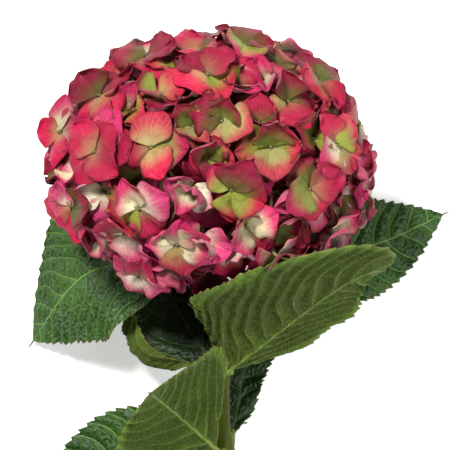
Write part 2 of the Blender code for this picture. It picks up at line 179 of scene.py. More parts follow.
class StageSettings(PropertyGroup):
    floor_width: FloatProperty(
        name="Floor width", description="Width of the table surface", default=6.0, unit="LENGTH"
    )
    floor_colour: colour_setting("Floor colour", "Colour of the table surface", (0.92, 0.92, 0.92))
    view_width: FloatProperty(
        name="View width", description="Width of the view at the head", default=0.2565, unit="LENGTH"
    )
    view_height: FloatProperty(
        name="View height", description="Height of the camera", default=1.9, unit="LENGTH"
    )
    key_power: FloatProperty(name="Key power", description="Power of the main light", default=36)
    fill_power: FloatProperty(name="Fill power", description="Power of the soft fill", default=21)


# Shader expressions


def forward(operation):
    def worked(self, other):
        return self.finish.value("ShaderNodeMath", {"operation": operation}, {0: self, 1: other})

    return worked


def reflected(operation):
    def worked(self, other):
        return self.finish.value("ShaderNodeMath", {"operation": operation}, {0: other, 1: self})

    return worked


class Value:
    """A number socket that takes part in Python expressions."""

    def __init__(self, finish, socket):
        self.finish = finish
        self.socket = socket

    __add__ = forward("ADD")
    __radd__ = reflected("ADD")
    __sub__ = forward("SUBTRACT")
    __rsub__ = reflected("SUBTRACT")
    __mul__ = forward("MULTIPLY")
    __truediv__ = forward("DIVIDE")

    def single(self, operation):
        return self.finish.value("ShaderNodeMath", {"operation": operation}, {0: self})

    def fraction(self):
        return self.single("FRACT")

    def size(self):
        return self.single("ABSOLUTE")

    def smooth(self, low, high):
        """0 below low and 1 above high, with a soft step between."""
        return self.finish.value(
            "ShaderNodeMapRange",
            {"interpolation_type": "SMOOTHSTEP"},
            {"Value": self, "From Min": low, "From Max": high},
        )

    def line(self, width):
        """1 where the value is a whole number, falling to 0 at that share of the way to the next."""
        away = ((self + 0.5).fraction() - 0.5).size() * 2
        return 1 - away.smooth(0, width)


class Finish:
    """A procedural material. Every node but the shader comes from its node method."""

    def __init__(self, name):
        self.material = bpy.data.materials.new(name)
        self.material.use_nodes = True
        self.tree = self.material.node_tree
        self.surface = self.tree.nodes["Principled BSDF"]

    def feed(self, socket, given):
        if isinstance(given, Value):
            given = given.socket
        if isinstance(given, bpy.types.NodeSocket):
            self.tree.links.new(given, socket)
        else:
            socket.default_value = given

    def node(self, kind, settings, inputs):
        made = self.tree.nodes.new(kind)
        for name, setting in settings.items():
            setattr(made, name, setting)
        for name, given in inputs.items():
            self.feed(made.inputs[name], given)
        return made

    def value(self, kind, settings, inputs):
        return Value(self, self.node(kind, settings, inputs).outputs[0])

    def place(self):
        return self.node("ShaderNodeTexCoord", {}, {}).outputs["Object"]

    def attribute(self, name, output="Vector"):
        return self.node("ShaderNodeAttribute", {"attribute_name": name}, {}).outputs[output]

    def parts(self, vector):
        split = self.node("ShaderNodeSeparateXYZ", {}, {"Vector": vector})
        return [Value(self, split.outputs[axis]) for axis in range(3)]

    def noise(self, scale, detail=2.0):
        """Cloudy noise about 0, by place on the object. The scale is in features per metre."""
        inputs = {"Vector": self.place(), "Scale": scale, "Detail": detail}
        return self.value("ShaderNodeTexNoise", {}, inputs) - 0.5

    def cells(self, scale):
        """The distance to the edges of small irregular cells."""
        inputs = {"Vector": self.place(), "Scale": scale}
        return self.value("ShaderNodeTexVoronoi", {"feature": "DISTANCE_TO_EDGE"}, inputs)

    def mix(self, share, first, second, blend="MIX"):
        first = (*first, 1) if isinstance(first, tuple) else first
        second = (*second, 1) if isinstance(second, tuple) else second
        settings = {"data_type": "RGBA", "blend_type": blend, "clamp_factor": True}
        return self.node("ShaderNodeMix", settings, {0: share, 6: first, 7: second}).outputs[2]

    def bump(self, height, distance, strength):
        inputs = {"Height": height, "Distance": distance, "Strength": strength}
        normal = self.node("ShaderNodeBump", {}, inputs).outputs["Normal"]
        self.feed(self.surface.inputs["Normal"], normal)

    def wear(self, colour, roughness, **constants):
        self.feed(self.surface.inputs["Base Color"], colour)
        self.feed(self.surface.inputs["Roughness"], roughness)
        for name, number in constants.items():
            self.surface.inputs[name.replace("_", " ")].default_value = number
        return self.material


def finish_named(name, make):
    """One material of each name, made when it is first asked for."""
    return bpy.data.materials.get(name) or make(name)


def shaded(colour, shade):
    return tuple(channel * shade for channel in colour)


# Sepal finishes

VEIN_CREAM = (0.80, 0.66, 0.46)
BLOTCH_MUD = (0.085, 0.045, 0.02)
RIM_PLUM = (0.42, 0.30, 0.36)
BACK_PINK = (0.78, 0.40, 0.44)
PEDICEL_STRAW = (0.50, 0.42, 0.17)
PEDICEL_PINK = (0.56, 0.16, 0.17)
BUD_DARK = (0.045, 0.05, 0.012)
BUD_GREEN = (0.17, 0.15, 0.035)


def sepal_pattern(finish):
    """A sepal's colour, cloud and relief: heart at the claw, blush at the margin, veins in a fan."""
    along, across, edge = finish.parts(finish.attribute("sepal"))
    reach, veins, dusk = finish.parts(finish.attribute("habit"))
    heart = finish.attribute("heart", "Color")
    blush = finish.attribute("blush", "Color")
    cloud = finish.noise(85, 3.0)
    grain = finish.noise(620, 2.0)
    spread = along + edge * edge * 0.16 + cloud * 0.42 + grain * 0.12
    colour = finish.mix(spread.smooth(reach - 0.22, reach + 0.34), heart, blush)
    fan = across / (along + 0.14) + cloud * 0.20
    fade = 1 - along.smooth(0.35, 0.95)
    ribs = (fan * 5.0).line(0.20) * fade
    twigs = (fan * 14.0 + grain * 0.9).line(0.40) * along.smooth(0.10, 0.4) * fade
    rib = across.size().smooth(0.0, 0.022)
    streaks = (ribs * 0.70 + twigs * 0.34 + (1 - rib) * 0.35 * fade) * veins
    pale = finish.mix(0.35, heart, VEIN_CREAM)
    colour = finish.mix(streaks, colour, pale)
    rim = (edge * 0.7 + along * 0.4).smooth(0.55, 1.05) * (0.34 + dusk * 0.5)
    deep = finish.mix(1.0, blush, RIM_PLUM, "MULTIPLY")
    colour = finish.mix(rim, colour, deep)
    blotch = finish.noise(190, 3.0).smooth(-0.04, 0.20) * dusk * 0.75
    colour = finish.mix(blotch, colour, BLOTCH_MUD)
    wrinkles = finish.noise(300, 4.0)
    # Painted shade: darker where the wrinkles sink in, in the creases of the relief
    colour = finish.mix(wrinkles.smooth(0.02, 0.26) * 0.45, colour, deep)
    network = finish.cells(950).smooth(0.0, 0.10)
    relief = ribs * 0.5 + twigs * 0.25 - (1 - rib) * 0.8 + network * 0.25 + cloud * 1.2 - wrinkles * 1.4
    return colour, cloud, relief


def sepal_face(name):
    finish = Finish(name)
    colour, cloud, relief = sepal_pattern(finish)
    finish.bump(relief, 0.00055, 0.85)
    return finish.wear(colour, 0.50 + cloud * 0.25, Specular_IOR_Level=0.22)


def sepal_back(name):
    """The under side is paler, and its veins stand out."""
    finish = Finish(name)
    colour, cloud, relief = sepal_pattern(finish)
    pale = finish.mix(0.16, colour, BACK_PINK)
    finish.bump(relief, 0.00055, 0.85)
    return finish.wear(pale, 0.58 + cloud * 0.2, Specular_IOR_Level=0.3)


def pedicel_skin(name):
    finish = Finish(name)
    streaks = finish.noise(160, 2.0)
    grain = finish.cells(1500).smooth(0, 0.15)
    colour = finish.mix(streaks.smooth(-0.12, 0.14), PEDICEL_STRAW, PEDICEL_PINK)
    finish.bump(grain, 0.0001, 0.5)
    return finish.wear(colour, 0.5 + streaks * 0.2)


def bud_skin(name):
    finish = Finish(name)
    spots = finish.noise(700, 2.0)
    colour = finish.mix(spots.smooth(-0.15, 0.15), BUD_DARK, BUD_GREEN)
    finish.bump(finish.cells(1400), 0.00015, 0.6)
    return finish.wear(colour, 0.45 + spots * 0.2)


# Florets

# Each sepal colour: heart, blush, how far the heart reaches, vein strength and dusk
SEPAL_COLOURS = {
    "crimson": ((0.38, 0.22, 0.10), (0.50, 0.006, 0.060), 0.20, 0.24, 0.20),
    "scarlet": ((0.44, 0.32, 0.12), (0.56, 0.008, 0.055), 0.27, 0.30, 0.10),
    "coral": ((0.50, 0.42, 0.16), (0.57, 0.020, 0.062), 0.33, 0.90, 0.05),
    "rose": ((0.56, 0.44, 0.26), (0.54, 0.016, 0.110), 0.28, 0.38, 0.10),
    "pink": ((0.76, 0.62, 0.46), (0.62, 0.042, 0.165), 0.34, 0.65, 0.03),
    "lime_coral": ((0.27, 0.32, 0.040), (0.55, 0.016, 0.055), 0.46, 0.50, 0.10),
    "lime_rose": ((0.28, 0.31, 0.055), (0.48, 0.012, 0.080), 0.53, 0.35, 0.12),
    "lime": ((0.24, 0.29, 0.028), (0.40, 0.05, 0.050), 0.62, 0.30, 0.16),
    "olive": ((0.12, 0.15, 0.020), (0.27, 0.008, 0.034), 0.46, 0.22, 0.42),
    "dusk": ((0.12, 0.10, 0.022), (0.27, 0.005, 0.036), 0.34, 0.14, 0.45),
    "wine": ((0.22, 0.08, 0.05), (0.35, 0.004, 0.042), 0.18, 0.14, 0.30),
    "peach": ((0.44, 0.42, 0.14), (0.57, 0.05, 0.075), 0.44, 0.60, 0.08),
    "cream_rose": ((0.74, 0.68, 0.42), (0.62, 0.032, 0.130), 0.45, 0.50, 0.05),
    "cream": ((0.84, 0.80, 0.58), (0.68, 0.20, 0.26), 0.62, 0.30, 0.03),
}

# Sepal poses: rise at the claw, bend along the length, cup across it, in degrees, and ripple in mm
SEPAL_POSES = {
    "flat": (14, -18, 10, 1.2),
    "pillow": (32, -58, -30, 1.2),
    "cup": (32, 22, 46, 1.3),
    "open": (24, -34, 20, 1.5),
    "droop": (8, -54, -24, 1.3),
    "fold": (30, -20, 84, 1.4),
    "stand": (60, 6, 38, 1.3),
    "curl": (46, -100, -14, 1.4),
    "wave": (22, -28, -12, 2.4),
}

# Sepals of the florets that face up, from the longest one on, turning left. A pose may follow.
FACING_FLORETS = {
    "floret_01": ("coral open", "crimson pillow", "scarlet pillow", "lime_rose flat"),
    "floret_02": ("crimson open", "olive pillow", "lime_rose open", "scarlet pillow"),
    "floret_03": ("dusk open", "lime_rose open", "lime_coral droop", "lime_coral open"),
    "floret_04": ("olive cup", "lime flat", "peach open", "lime_coral cup"),
    "floret_05": ("lime_coral pillow", "crimson open", "cream_rose flat", "coral open"),
    "floret_06": ("crimson pillow", "crimson open", "olive open", "pink cup"),
    "floret_07": ("lime_coral droop", "crimson droop", "pink pillow", "cream_rose fold"),
    "floret_08": ("pink pillow", "rose open", "crimson cup", "cream_rose flat"),
    "floret_09": ("dusk pillow", "olive cup", "lime_rose open", "dusk fold"),
    "floret_10": ("dusk pillow", "crimson open", "wine open", "rose curl"),
    "floret_11": ("dusk cup", "crimson pillow", "crimson droop", "wine open"),
    "floret_12": ("olive pillow", "dusk open", "scarlet open", "crimson fold"),
    "floret_13": ("scarlet droop", "cream_rose open", "rose open", "cream_rose pillow"),
    "floret_14": ("lime_coral droop", "pink open", "olive cup", "rose pillow"),
    "floret_15": ("pink pillow", "cream_rose cup", "rose cup", "crimson open"),
    "floret_16": ("pink pillow", "pink open", "crimson open", "rose droop"),
    "floret_17": ("crimson pillow", "rose open", "cream_rose flat", "crimson cup"),
    "floret_18": ("scarlet pillow", "lime_coral open", "crimson open", "wine open"),
    "floret_19": ("dusk cup", "peach open", "crimson pillow", "dusk pillow"),
    "floret_20": ("scarlet pillow", "crimson open", "lime_rose cup", "wine open"),
    "floret_21": ("pink open", "rose pillow", "cream_rose cup", "pink droop"),
    "floret_22": ("dusk curl", "coral droop", "peach open", "olive stand"),
    "floret_33": ("crimson droop", "coral droop", "rose droop", "crimson droop"),
}

# More florets that face up: x, y, share of the shell, width, heading of the first sepal, its sepals
INNER_FLORETS = (
    (-7, 20, 0.95, 40, 225, ("coral pillow", "peach fold", "dusk open", "olive cup")),
    (-54, 12, 0.96, 44, 225, ("crimson pillow", "wine open", "rose pillow", "pink open")),
    (-6, 62, 0.97, 44, 100, ("crimson pillow", "crimson open", "scarlet open", "dusk curl")),
    (-17, 52, 0.96, 38, 190, ("lime_coral open", "lime open", "crimson pillow", "wine cup")),
    (-43, 30, 0.95, 38, 150, ("crimson open", "lime cup", "lime_coral open", "rose fold")),
    (-10, 37, 0.97, 38, 80, ("dusk pillow", "wine pillow", "olive cup", "dusk open")),
    (41, 55, 0.96, 42, 35, ("rose pillow", "dusk curl", "lime cup", "scarlet open")),
    (15, 43, 0.96, 38, 60, ("crimson pillow", "lime stand", "olive cup", "rose fold")),
    (58, 14, 0.95, 40, 0, ("lime_coral open", "dusk cup", "olive open", "crimson droop")),
    (67, 27, 0.96, 40, 215, ("coral pillow", "pink open", "rose open", "crimson cup")),
    (80, 32, 0.99, 38, 45, ("crimson pillow", "olive open", "scarlet fold", "dusk open")),
    (89, 14, 0.95, 40, 90, ("rose pillow", "pink open", "crimson cup", "pink droop")),
    (21, -35, 0.96, 42, 205, ("cream_rose open", "coral droop", "cream_rose pillow", "lime cup")),
    (40, -34, 0.93, 38, -45, ("olive open", "wine cup", "dusk open", "crimson pillow")),
    (43, -18, 0.93, 34, -90, ("rose cup", "cream flat", "cream cup", "pink fold")),
    (57, -48, 0.95, 38, -100, ("wine cup", "cream_rose fold", "crimson open", "pink open")),
    (-57, -15, 0.95, 40, -90, ("pink pillow", "lime_coral open", "rose open", "cream fold")),
    (-70, -2, 0.95, 38, 205, ("pink open", "cream_rose cup", "cream curl", "rose pillow")),
    (-40, -50, 0.88, 40, -60, ("crimson pillow", "rose open", "cream_rose fold", "pink droop")),
    (-4, -41, 0.96, 38, -110, ("cream_rose open", "pink open", "cream cup", "rose pillow")),
    (-21, -35, 0.85, 36, -80, ("wine open", "crimson droop", "rose cup", "wine pillow")),
    (-87, -3, 0.96, 38, 200, ("olive stand", "crimson stand", "pink open", "wine cup")),
    (-90, -27, 0.95, 38, 160, ("pink pillow", "rose open", "cream fold", "crimson open")),
    (-81, 5, 0.95, 36, 100, ("crimson open", "rose cup", "pink open", "wine pillow")),
    (83, -3, 0.96, 36, -30, ("coral open", "pink open", "rose cup", "scarlet pillow")),
    (-23, -60, 0.93, 38, -95, ("scarlet pillow", "wine open", "crimson cup", "rose open")),
    (-44, 50, 0.97, 36, 70, ("crimson curl", "scarlet fold", "rose open", "wine cup")),
    (-67, 38, 0.96, 38, 120, ("pink stand", "rose open", "crimson pillow", "pink curl")),
    (10, 71, 0.97, 38, 100, ("wine stand", "dusk pillow", "crimson open", "rose fold")),
    (54, 40, 0.96, 36, -20, ("scarlet open", "rose pillow", "dusk cup", "coral open")),
    (28, 45, 0.97, 36, -80, ("pink fold", "cream_rose fold", "rose fold", "dusk open")),
    (-22, 32, 0.96, 36, 110, ("coral pillow", "rose open", "dusk cup", "coral open")),
    (-37, 29, 0.96, 34, 20, ("cream_rose fold", "pink pillow", "rose open", "olive open")),
    (84, -20, 0.96, 40, -70, ("dusk pillow", "pink cup", "rose open", "olive open")),
    (73, -21, 0.94, 36, -110, ("cream open", "cream_rose cup", "dusk open", "pink open")),
    (-10, -14, 0.93, 36, -120, ("cream_rose fold", "cream open", "rose cup", "pink fold")),
    (48, 0, 0.94, 36, -60, ("rose open", "olive open", "wine cup", "crimson open")),
    (-23, -74, 0.90, 34, -60, ("pink fold", "rose fold", "wine cup", "crimson open")),
    (28, 22, 0.93, 36, 100, ("crimson open", "wine pillow", "olive cup", "rose open")),
    (-36, 57, 0.95, 38, 30, ("crimson open", "wine cup", "rose open", "scarlet open")),
    (-1, 3, 0.92, 38, 60, ("olive open", "crimson cup", "wine open", "lime_coral open")),
    (26, -4, 0.90, 36, 20, ("wine open", "crimson cup", "dusk open", "rose open")),
    (2, -62, 0.90, 38, -90, ("wine open", "crimson cup", "pink open", "dusk open")),
    (30, -62, 0.90, 38, -60, ("wine open", "crimson cup", "rose open", "cream_rose cup")),
    (55, -62, 0.88, 36, -50, ("wine pillow", "rose cup", "crimson open", "cream_rose open")),
)

# A sepal's outline and its crease: lengths in metres, widths as shares of its own
CLAW = 0.0008
CLAW_WIDTH = 0.13
CLAW_POWER = 0.60
TIP_POWER = 0.84
NECK = 0.18
CREASE = 0.00035
CREASE_WIDTH = 0.13
LEAST_CUP = 0.01
RUMPLES = 5
NOTCH_RATE = 11
RIPPLE_POWER = 2.4

# Each second sepal rises more, in degrees, and lies over its neighbours. Bud and pedicel.
UPPER_PAIR_RISE = 8
UPPER_PAIR_LIFT = 0.0011
BUD_PINCH = 0.16
BUD_SEAT = 0.75
PEDICEL_STEPS = 8
PEDICEL_SIDES = 8
PEDICEL_KNEE = 0.35
PEDICEL_FLARE = 0.35

# How far sepals may reach, as a share of the shell, and the share of the rest that they keep
DOME_SHARE = 1.03
DOME_GIVE = 0.70

# How sepals over another floret's heart are pressed down, in mm
HEART_RADIUS = 14
HEART_DEPTH = 5
HEART_TOP = 24
HEART_REACH = 46

# How a packed floret is read, in metres: reach of its hub and foot, depth of its plate, room of a tip
HUB_REACH = 0.0042
FOOT_REACH = 0.002
PLATE_DEPTH = 0.006
TIP_SPACING = 0.012
KNOB_SPACING = 0.02

# Where the inner florets sit, as shares of the shell, and how they lean, turn and crowd, in degrees
RIM_SHARE = 0.95
INNER_SHARE = 0.94
FILLING_SHARE = 0.86
UNDER_SHARE = 0.62
INNER_LEAN = 9
FILLING_LEAN = 14
MOST_TURN = 15
CROWDING = 18
FILLING_WIDTHS = (36, 43)
MAIN_COLOUR_SHARE = 0.6
SHELL_POINTS = 700
SHELL_END = math.radians(150)
GOLDEN_ANGLE = math.radians(137.508)


def smooth_route(points, steps):
    """Points along a Catmull-Rom curve through the given ones, ends included."""
    ends = [points[0] * 2 - points[1]] + list(points) + [points[-1] * 2 - points[-2]]
    spans = len(points) - 1
    route = []
    for step in range(steps + 1):
        where = step / steps * spans
        span = min(int(where), spans - 1)
        t = where - span
        before, start, end, after = ends[span : span + 4]
        bend = before * 2 - start * 5 + end * 4 - after
        swing = start * 3 - before - end * 3 + after
        route.append((start * 2 + (end - before) * t + bend * t**2 + swing * t**3) / 2)
    return route


def directions(route):
    ahead = route[1:] + route[-1:]
    behind = route[:1] + route[:-1]
    return [(a - b).normalized() for a, b in zip(ahead, behind)]


def head_middle():
    """The head's middle in the frame. The leader's knob stands straight above it."""
    low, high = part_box("branch_leader")
    knob = Vector(((low.x + high.x) / 2, high.y - KNOB_RADIUS * MM, high.z - KNOB_RADIUS * MM))
    return knob - Vector((0, LEADER_REACH * MM, 0))


HEAD_MIDDLE = head_middle()


def in_frame(place):
    """A plan place, in millimetres from the head's middle and up from the table, in the frame."""
    return HEAD_MIDDLE.xy.to_3d() + Vector(place) * MM


def add_tube(bm, route, radii, sides, slot=0):
    """A round bar along a route, closed at both ends."""
    rings = []
    made = set(bm.faces)
    for point, heading, radius in zip(route, directions(route), radii):
        turn = UP.rotation_difference(heading).to_matrix().to_4x4()
        place = Matrix.Translation(point) @ turn
        ring = bmesh.ops.create_circle(bm, segments=sides, radius=radius, matrix=place)["verts"]
        bm.edges.index_update()
        edges = {edge for vert in ring for edge in vert.link_edges}
        rings.append(sorted(edges, key=lambda edge: edge.index))
    for near, far in zip(rings, rings[1:]):
        bmesh.ops.bridge_loops(bm, edges=near + far)
    for end in (rings[0], rings[-1]):
        bmesh.ops.contextual_create(bm, geom=end)
    skin = [face for face in bm.faces if face not in made]
    bmesh.ops.recalc_face_normals(bm, faces=skin)
    for face in skin:
        face.material_index = slot
    return skin


def thicken(bm, thickness):
    """Gives a sheet its under side, below each vertex along its normal. Returns the new vertices."""
    outward = bm.verts.layers.float_vector["outward"]
    bm.normal_update()
    for vert in bm.verts:
        vert[outward] = vert.normal
    above = set(bm.verts)
    bmesh.ops.solidify(bm, geom=bm.faces[:], thickness=0)
    below = [vert for vert in bm.verts if vert not in above]
    for vert in below:
        vert.co -= vert[outward] * thickness
    return below


def finish_piece(name, bm, materials, nodes=()):
    """Makes the mesh an object that rides on the plant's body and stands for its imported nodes."""
    mesh = bpy.data.meshes.new(name)
    bm.to_mesh(mesh)
    bm.free()
    mesh.shade_smooth()
    for material in materials:
        mesh.materials.append(material)
    piece = bpy.data.objects.new(name, mesh)
    bpy.context.scene.collection.objects.link(piece)
    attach(piece, BODY)
    if nodes:
        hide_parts(*nodes)
    return piece


class Sepal:
    """One sepal's measures: where it points, its shape and its colours."""

    def __init__(self, heading, length, look, draw, breadth, facing, crowding=0):
        colour, pose = look.split()
        self.heading = heading
        self.length = length
        self.half_width = length * breadth * draw.uniform(0.86, 1.12)
        self.heart, self.blush, reach, veins, dusk = SEPAL_COLOURS[colour]
        self.habit = Vector((reach + draw.uniform(-0.08, 0.08), veins, dusk))
        rise, bend, cup, ripple = SEPAL_POSES[pose]
        turned = 1 - max(0, facing)
        rise = rise * (1 - 0.4 * turned) + crowding
        bend = bend * (1 - 0.3 * turned) - 12 * turned
        self.rise = math.radians(rise + draw.uniform(-9, 9))
        self.bend = math.radians(bend + draw.uniform(-14, 14))
        self.cup = math.radians(cup + draw.uniform(-12, 12))
        self.ripple = ripple * MM * draw.uniform(0.8, 1.5)
        self.twist = math.radians(draw.uniform(-16, 16))
        self.waves = draw.uniform(1.3, 2.8)
        self.phase = draw.uniform(0, math.tau)
        self.swing = math.radians(draw.uniform(-9, 9))
        self.vee = draw.uniform(-0.10, 0.30)
        self.tint = draw.uniform(0.72, 1.12)
        self.rumples = [
            (draw.uniform(-9, 9), draw.uniform(2, 7), draw.uniform(0, math.tau), draw.uniform(0.2, 0.6))
            for _ in range(RUMPLES)
        ]
        self.notches = [draw.uniform(0, math.tau), draw.uniform(0, math.tau), draw.uniform(0.04, 0.12)]


def sepal_outline(along):
    """Half width along a sepal, as a share of its widest: a narrow claw, broad and round, a point."""
    widest = CLAW_POWER / (CLAW_POWER + TIP_POWER)
    body = (along / widest) ** CLAW_POWER * ((1 - along) / (1 - widest)) ** TIP_POWER
    neck = min(1, along / NECK)
    return max(body * (0.5 + 0.5 * neck), CLAW_WIDTH * (1 - along))


def centre_line(sepal, rows):
    """Points and tilts along the middle of a sepal, in its own upright plane."""
    points = []
    out = CLAW
    up = 0
    last = 0
    for row in range(rows + 1):
        share = row / rows
        along = 0.55 * (1 - math.cos(math.pi * share)) / 2 + 0.45 * share
        tilt = sepal.rise + sepal.bend * along
        out += math.cos(tilt) * sepal.length * (along - last)
        up += math.sin(tilt) * sepal.length * (along - last)
        last = along
        points.append((along, out, up, tilt))
    return points


def in_dome(spot):
    """Draws in what reaches far out of the head's round outline."""
    out = (spot - HEAD_MIDDLE) / MM
    share = Vector((out.x / SHELL.x, out.y / SHELL.y, out.z / SHELL.z)).length
    if share <= DOME_SHARE:
        return spot
    kept = DOME_SHARE + (share - DOME_SHARE) * DOME_GIVE
    return HEAD_MIDDLE + out * MM * kept / share


def below_hearts(spot, hearts):
    """Presses what lies over another floret's heart down under it. A heart is a middle and a normal."""
    for middle, normal in hearts:
        away = (spot - middle) / MM
        height = away.dot(normal)
        share = 1 - (away - normal * height).length / HEART_RADIUS
        if share > 0:
            depth = height + HEART_DEPTH * share
            if 0 < depth < HEART_TOP:
                spot = spot - normal * depth * min(1, share * 2) * MM
    return spot


def sepal_point(sepal, stop, across, layer_lift):
    """A point of a sepal in its own axes, x outwards and face up, and the half width there."""
    along, out, up, tilt = stop
    half = sepal.half_width * sepal_outline(along)
    notch = sepal.notches[0 if across < 0 else 1]
    half *= 1 + sepal.notches[2] * math.sin(NOTCH_RATE * along + notch) * abs(across)
    angle = sepal.cup * across
    bow = sepal.cup if abs(sepal.cup) > LEAST_CUP else LEAST_CUP
    side = math.sin(angle) / bow * half
    lift = (1 - math.cos(angle)) / bow * half + sepal.vee * half * abs(across)
    wave = math.sin(math.tau * sepal.waves * along + sepal.phase + math.copysign(0.8, across))
    lift += sepal.ripple * wave * abs(across) ** RIPPLE_POWER * min(1, along * 3)
    for down, over, start, rumple in sepal.rumples:
        lift += rumple * MM * math.sin(down * along + over * across + start) * min(1, along * 3)
    lift -= CREASE * math.exp(-((across / CREASE_WIDTH) ** 2)) * math.sin(math.pi * along)
    roll = sepal.twist * along
    turned_side = side * math.cos(roll) - lift * math.sin(roll)
    lift = side * math.sin(roll) + lift * math.cos(roll)
    drift = math.sin(sepal.swing) * along * out
    height = up + math.cos(tilt) * lift + layer_lift
    return Vector((out - math.sin(tilt) * lift, turned_side + drift, height)), half


def add_sepal(bm, sepal, layers, place, layer_lift, settings, hearts):
    """A grid bent to a sepal's shape, at the floret's place and clear of the hearts of others."""
    rows, columns = settings.rows, settings.columns
    grid = bmesh.ops.create_grid(bm, x_segments=rows, y_segments=columns, size=0.5)["verts"]
    line = centre_line(sepal, rows)
    turn = Matrix.Rotation(sepal.heading, 3, "Z")
    tips = []
    for vert in grid:
        row = round((vert.co.x + 0.5) * rows)
        across = vert.co.y * 2
        along = line[row][0]
        local, half = sepal_point(sepal, line[row], across, layer_lift)
        vert[layers["sepal"]] = Vector((along, across * half / sepal.length, abs(across)))
        vert[layers["heart"]] = Vector(sepal.heart) * sepal.tint
        vert[layers["blush"]] = Vector(sepal.blush) * sepal.tint
        vert[layers["habit"]] = sepal.habit
        vert.co = below_hearts(in_dome(place @ (turn @ local)), hearts)
        vert.co.z = max(vert.co.z, TABLE_CLEARANCE * MM * 2)
        if row == rows:
            tips.append(vert)
    middle = tips[len(tips) // 2].co.copy()
    bmesh.ops.pointmerge(bm, verts=tips, merge_co=middle)


def add_bud(bm, place, radius):
    """The closed flower at the middle: a small ball pinched into four lobes."""
    made = set(bm.faces)
    ball = bmesh.ops.create_icosphere(bm, subdivisions=2, radius=radius)["verts"]
    for vert in ball:
        round_about = math.atan2(vert.co.y, vert.co.x)
        pinch = 1 - BUD_PINCH * abs(math.cos(2 * round_about)) ** 4
        vert.co.x *= pinch
        vert.co.y *= pinch
        vert.co = place @ (vert.co + UP * radius * BUD_SEAT)
    for face in bm.faces:
        if face not in made:
            face.material_index = BUD


def make_floret(name, place, sepals, foot, settings, nodes=(), hearts=()):
    """Sepals, bud and pedicel of one floret, at its place in the frame."""
    bm = bmesh.new()
    keys = ("outward", "sepal", "heart", "blush", "habit")
    layers = {key: bm.verts.layers.float_vector.new(key) for key in keys}
    for number, sepal in enumerate(sepals):
        if number % 2 == 0:
            sepal.rise += math.radians(UPPER_PAIR_RISE)
            add_sepal(bm, sepal, layers, place, UPPER_PAIR_LIFT, settings, hearts)
        else:
            sepal.rise -= math.radians(UPPER_PAIR_RISE / 2)
            add_sepal(bm, sepal, layers, place, 0, settings, hearts)
    below = set(thicken(bm, settings.sepal_thickness))
    for face in bm.faces:
        face.material_index = BACK if below.issuperset(face.verts) else FACE
    add_bud(bm, place, settings.bud_radius)
    start = place.translation
    knee = start - place.to_3x3() @ UP * (start - foot).length * PEDICEL_KNEE
    route = smooth_route([start, knee, foot], PEDICEL_STEPS)
    radii = []
    for step in range(PEDICEL_STEPS + 1):
        flare = abs(step / (PEDICEL_STEPS / 2) - 1) ** 2
        radii.append(settings.pedicel_radius * (1 + PEDICEL_FLARE * flare))
    add_tube(bm, route, radii, PEDICEL_SIDES, slot=STALK)
    materials = [
        finish_named("sepal_face", sepal_face),
        finish_named("sepal_back", sepal_back),
        finish_named("pedicel_skin", pedicel_skin),
        finish_named("bud_skin", bud_skin),
    ]
    return finish_piece(name, bm, materials, nodes)


def floret_axes(middle, normal, heading):
    """The floret's own axes: z out of the head, x along the first sepal."""
    east = Vector((1, 0, 0)) if abs(normal.x) < 0.9 else Vector((0, 1, 0))
    east = (east - normal * east.dot(normal)).normalized()
    north = normal.cross(east)
    along = east * math.cos(heading) + north * math.sin(heading)
    across = normal.cross(along)
    axes = Matrix((along, across, normal)).transposed().to_4x4()
    return Matrix.Translation(middle) @ axes


def turn_about(axis, start, spoke):
    """The angle from start to spoke, turning left about an axis, from 0 to a full turn."""
    flat = spoke - axis * spoke.dot(axis)
    base = (start - axis * start.dot(axis)).normalized()
    angle = math.atan2(axis.cross(base).dot(flat), base.dot(flat))
    return angle % math.tau if abs(angle) > 0.001 else 0


class PackedFloret:
    """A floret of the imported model: its axes, where its sepals point, their lengths and its foot."""

    def __init__(self, node):
        points = [vert.co.copy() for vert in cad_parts[node].data.vertices]
        hub = max(points, key=lambda point: sum((point - other).length < HUB_REACH for other in points))
        near_hub = [point for point in points if (point - hub).length < HUB_REACH]
        middle = sum(near_hub, Vector()) / len(near_hub)
        inward = min(points, key=lambda point: (point - HEAD_MIDDLE).length)
        near_foot = [point for point in points if (point - inward).length < FOOT_REACH]
        self.foot = sum(near_foot, Vector()) / len(near_foot)
        stalk = (middle - self.foot).normalized()
        above = [point for point in points if (point - middle).dot(stalk) > -PLATE_DEPTH]
        spokes = [tip - middle for tip in far_tips(above, near_hub, middle)]
        longest = spokes[0]
        spokes.sort(key=lambda spoke: turn_about(stalk, longest, spoke))
        normal = Vector()
        for spoke, following in zip(spokes, spokes[1:] + spokes[:1]):
            normal += spoke.cross(following)
        normal.normalize()
        along = (spokes[0] - normal * spokes[0].dot(normal)).normalized()
        axes = Matrix((along, normal.cross(along), normal)).transposed().to_4x4()
        self.place = Matrix.Translation(middle) @ axes
        self.headings = [turn_about(normal, along, spoke) for spoke in spokes]
        self.lengths = [spoke.length for spoke in spokes]


def far_tips(points, left_out, middle):
    """The four points farthest from the middle that lie well apart: the tips of the sepals."""
    tips = []
    for point in sorted(points, key=lambda point: -(point - middle).length):
        if point not in left_out and all((point - tip).length > TIP_SPACING for tip in tips):
            tips.append(point)
        if len(tips) == 4:
            break
    return tips


def turned_up(place):
    """Turns a floret that faces sideways a little upwards, about its own middle."""
    normal = place.to_3x3() @ UP
    if not 0 < normal.z < 0.9:
        return place
    axis = normal.cross(UP).normalized()
    turn = Matrix.Rotation(math.radians(MOST_TURN) * (1 - normal.z), 4, axis)
    middle = Matrix.Translation(place.translation)
    return middle @ turn @ middle.inverted() @ place


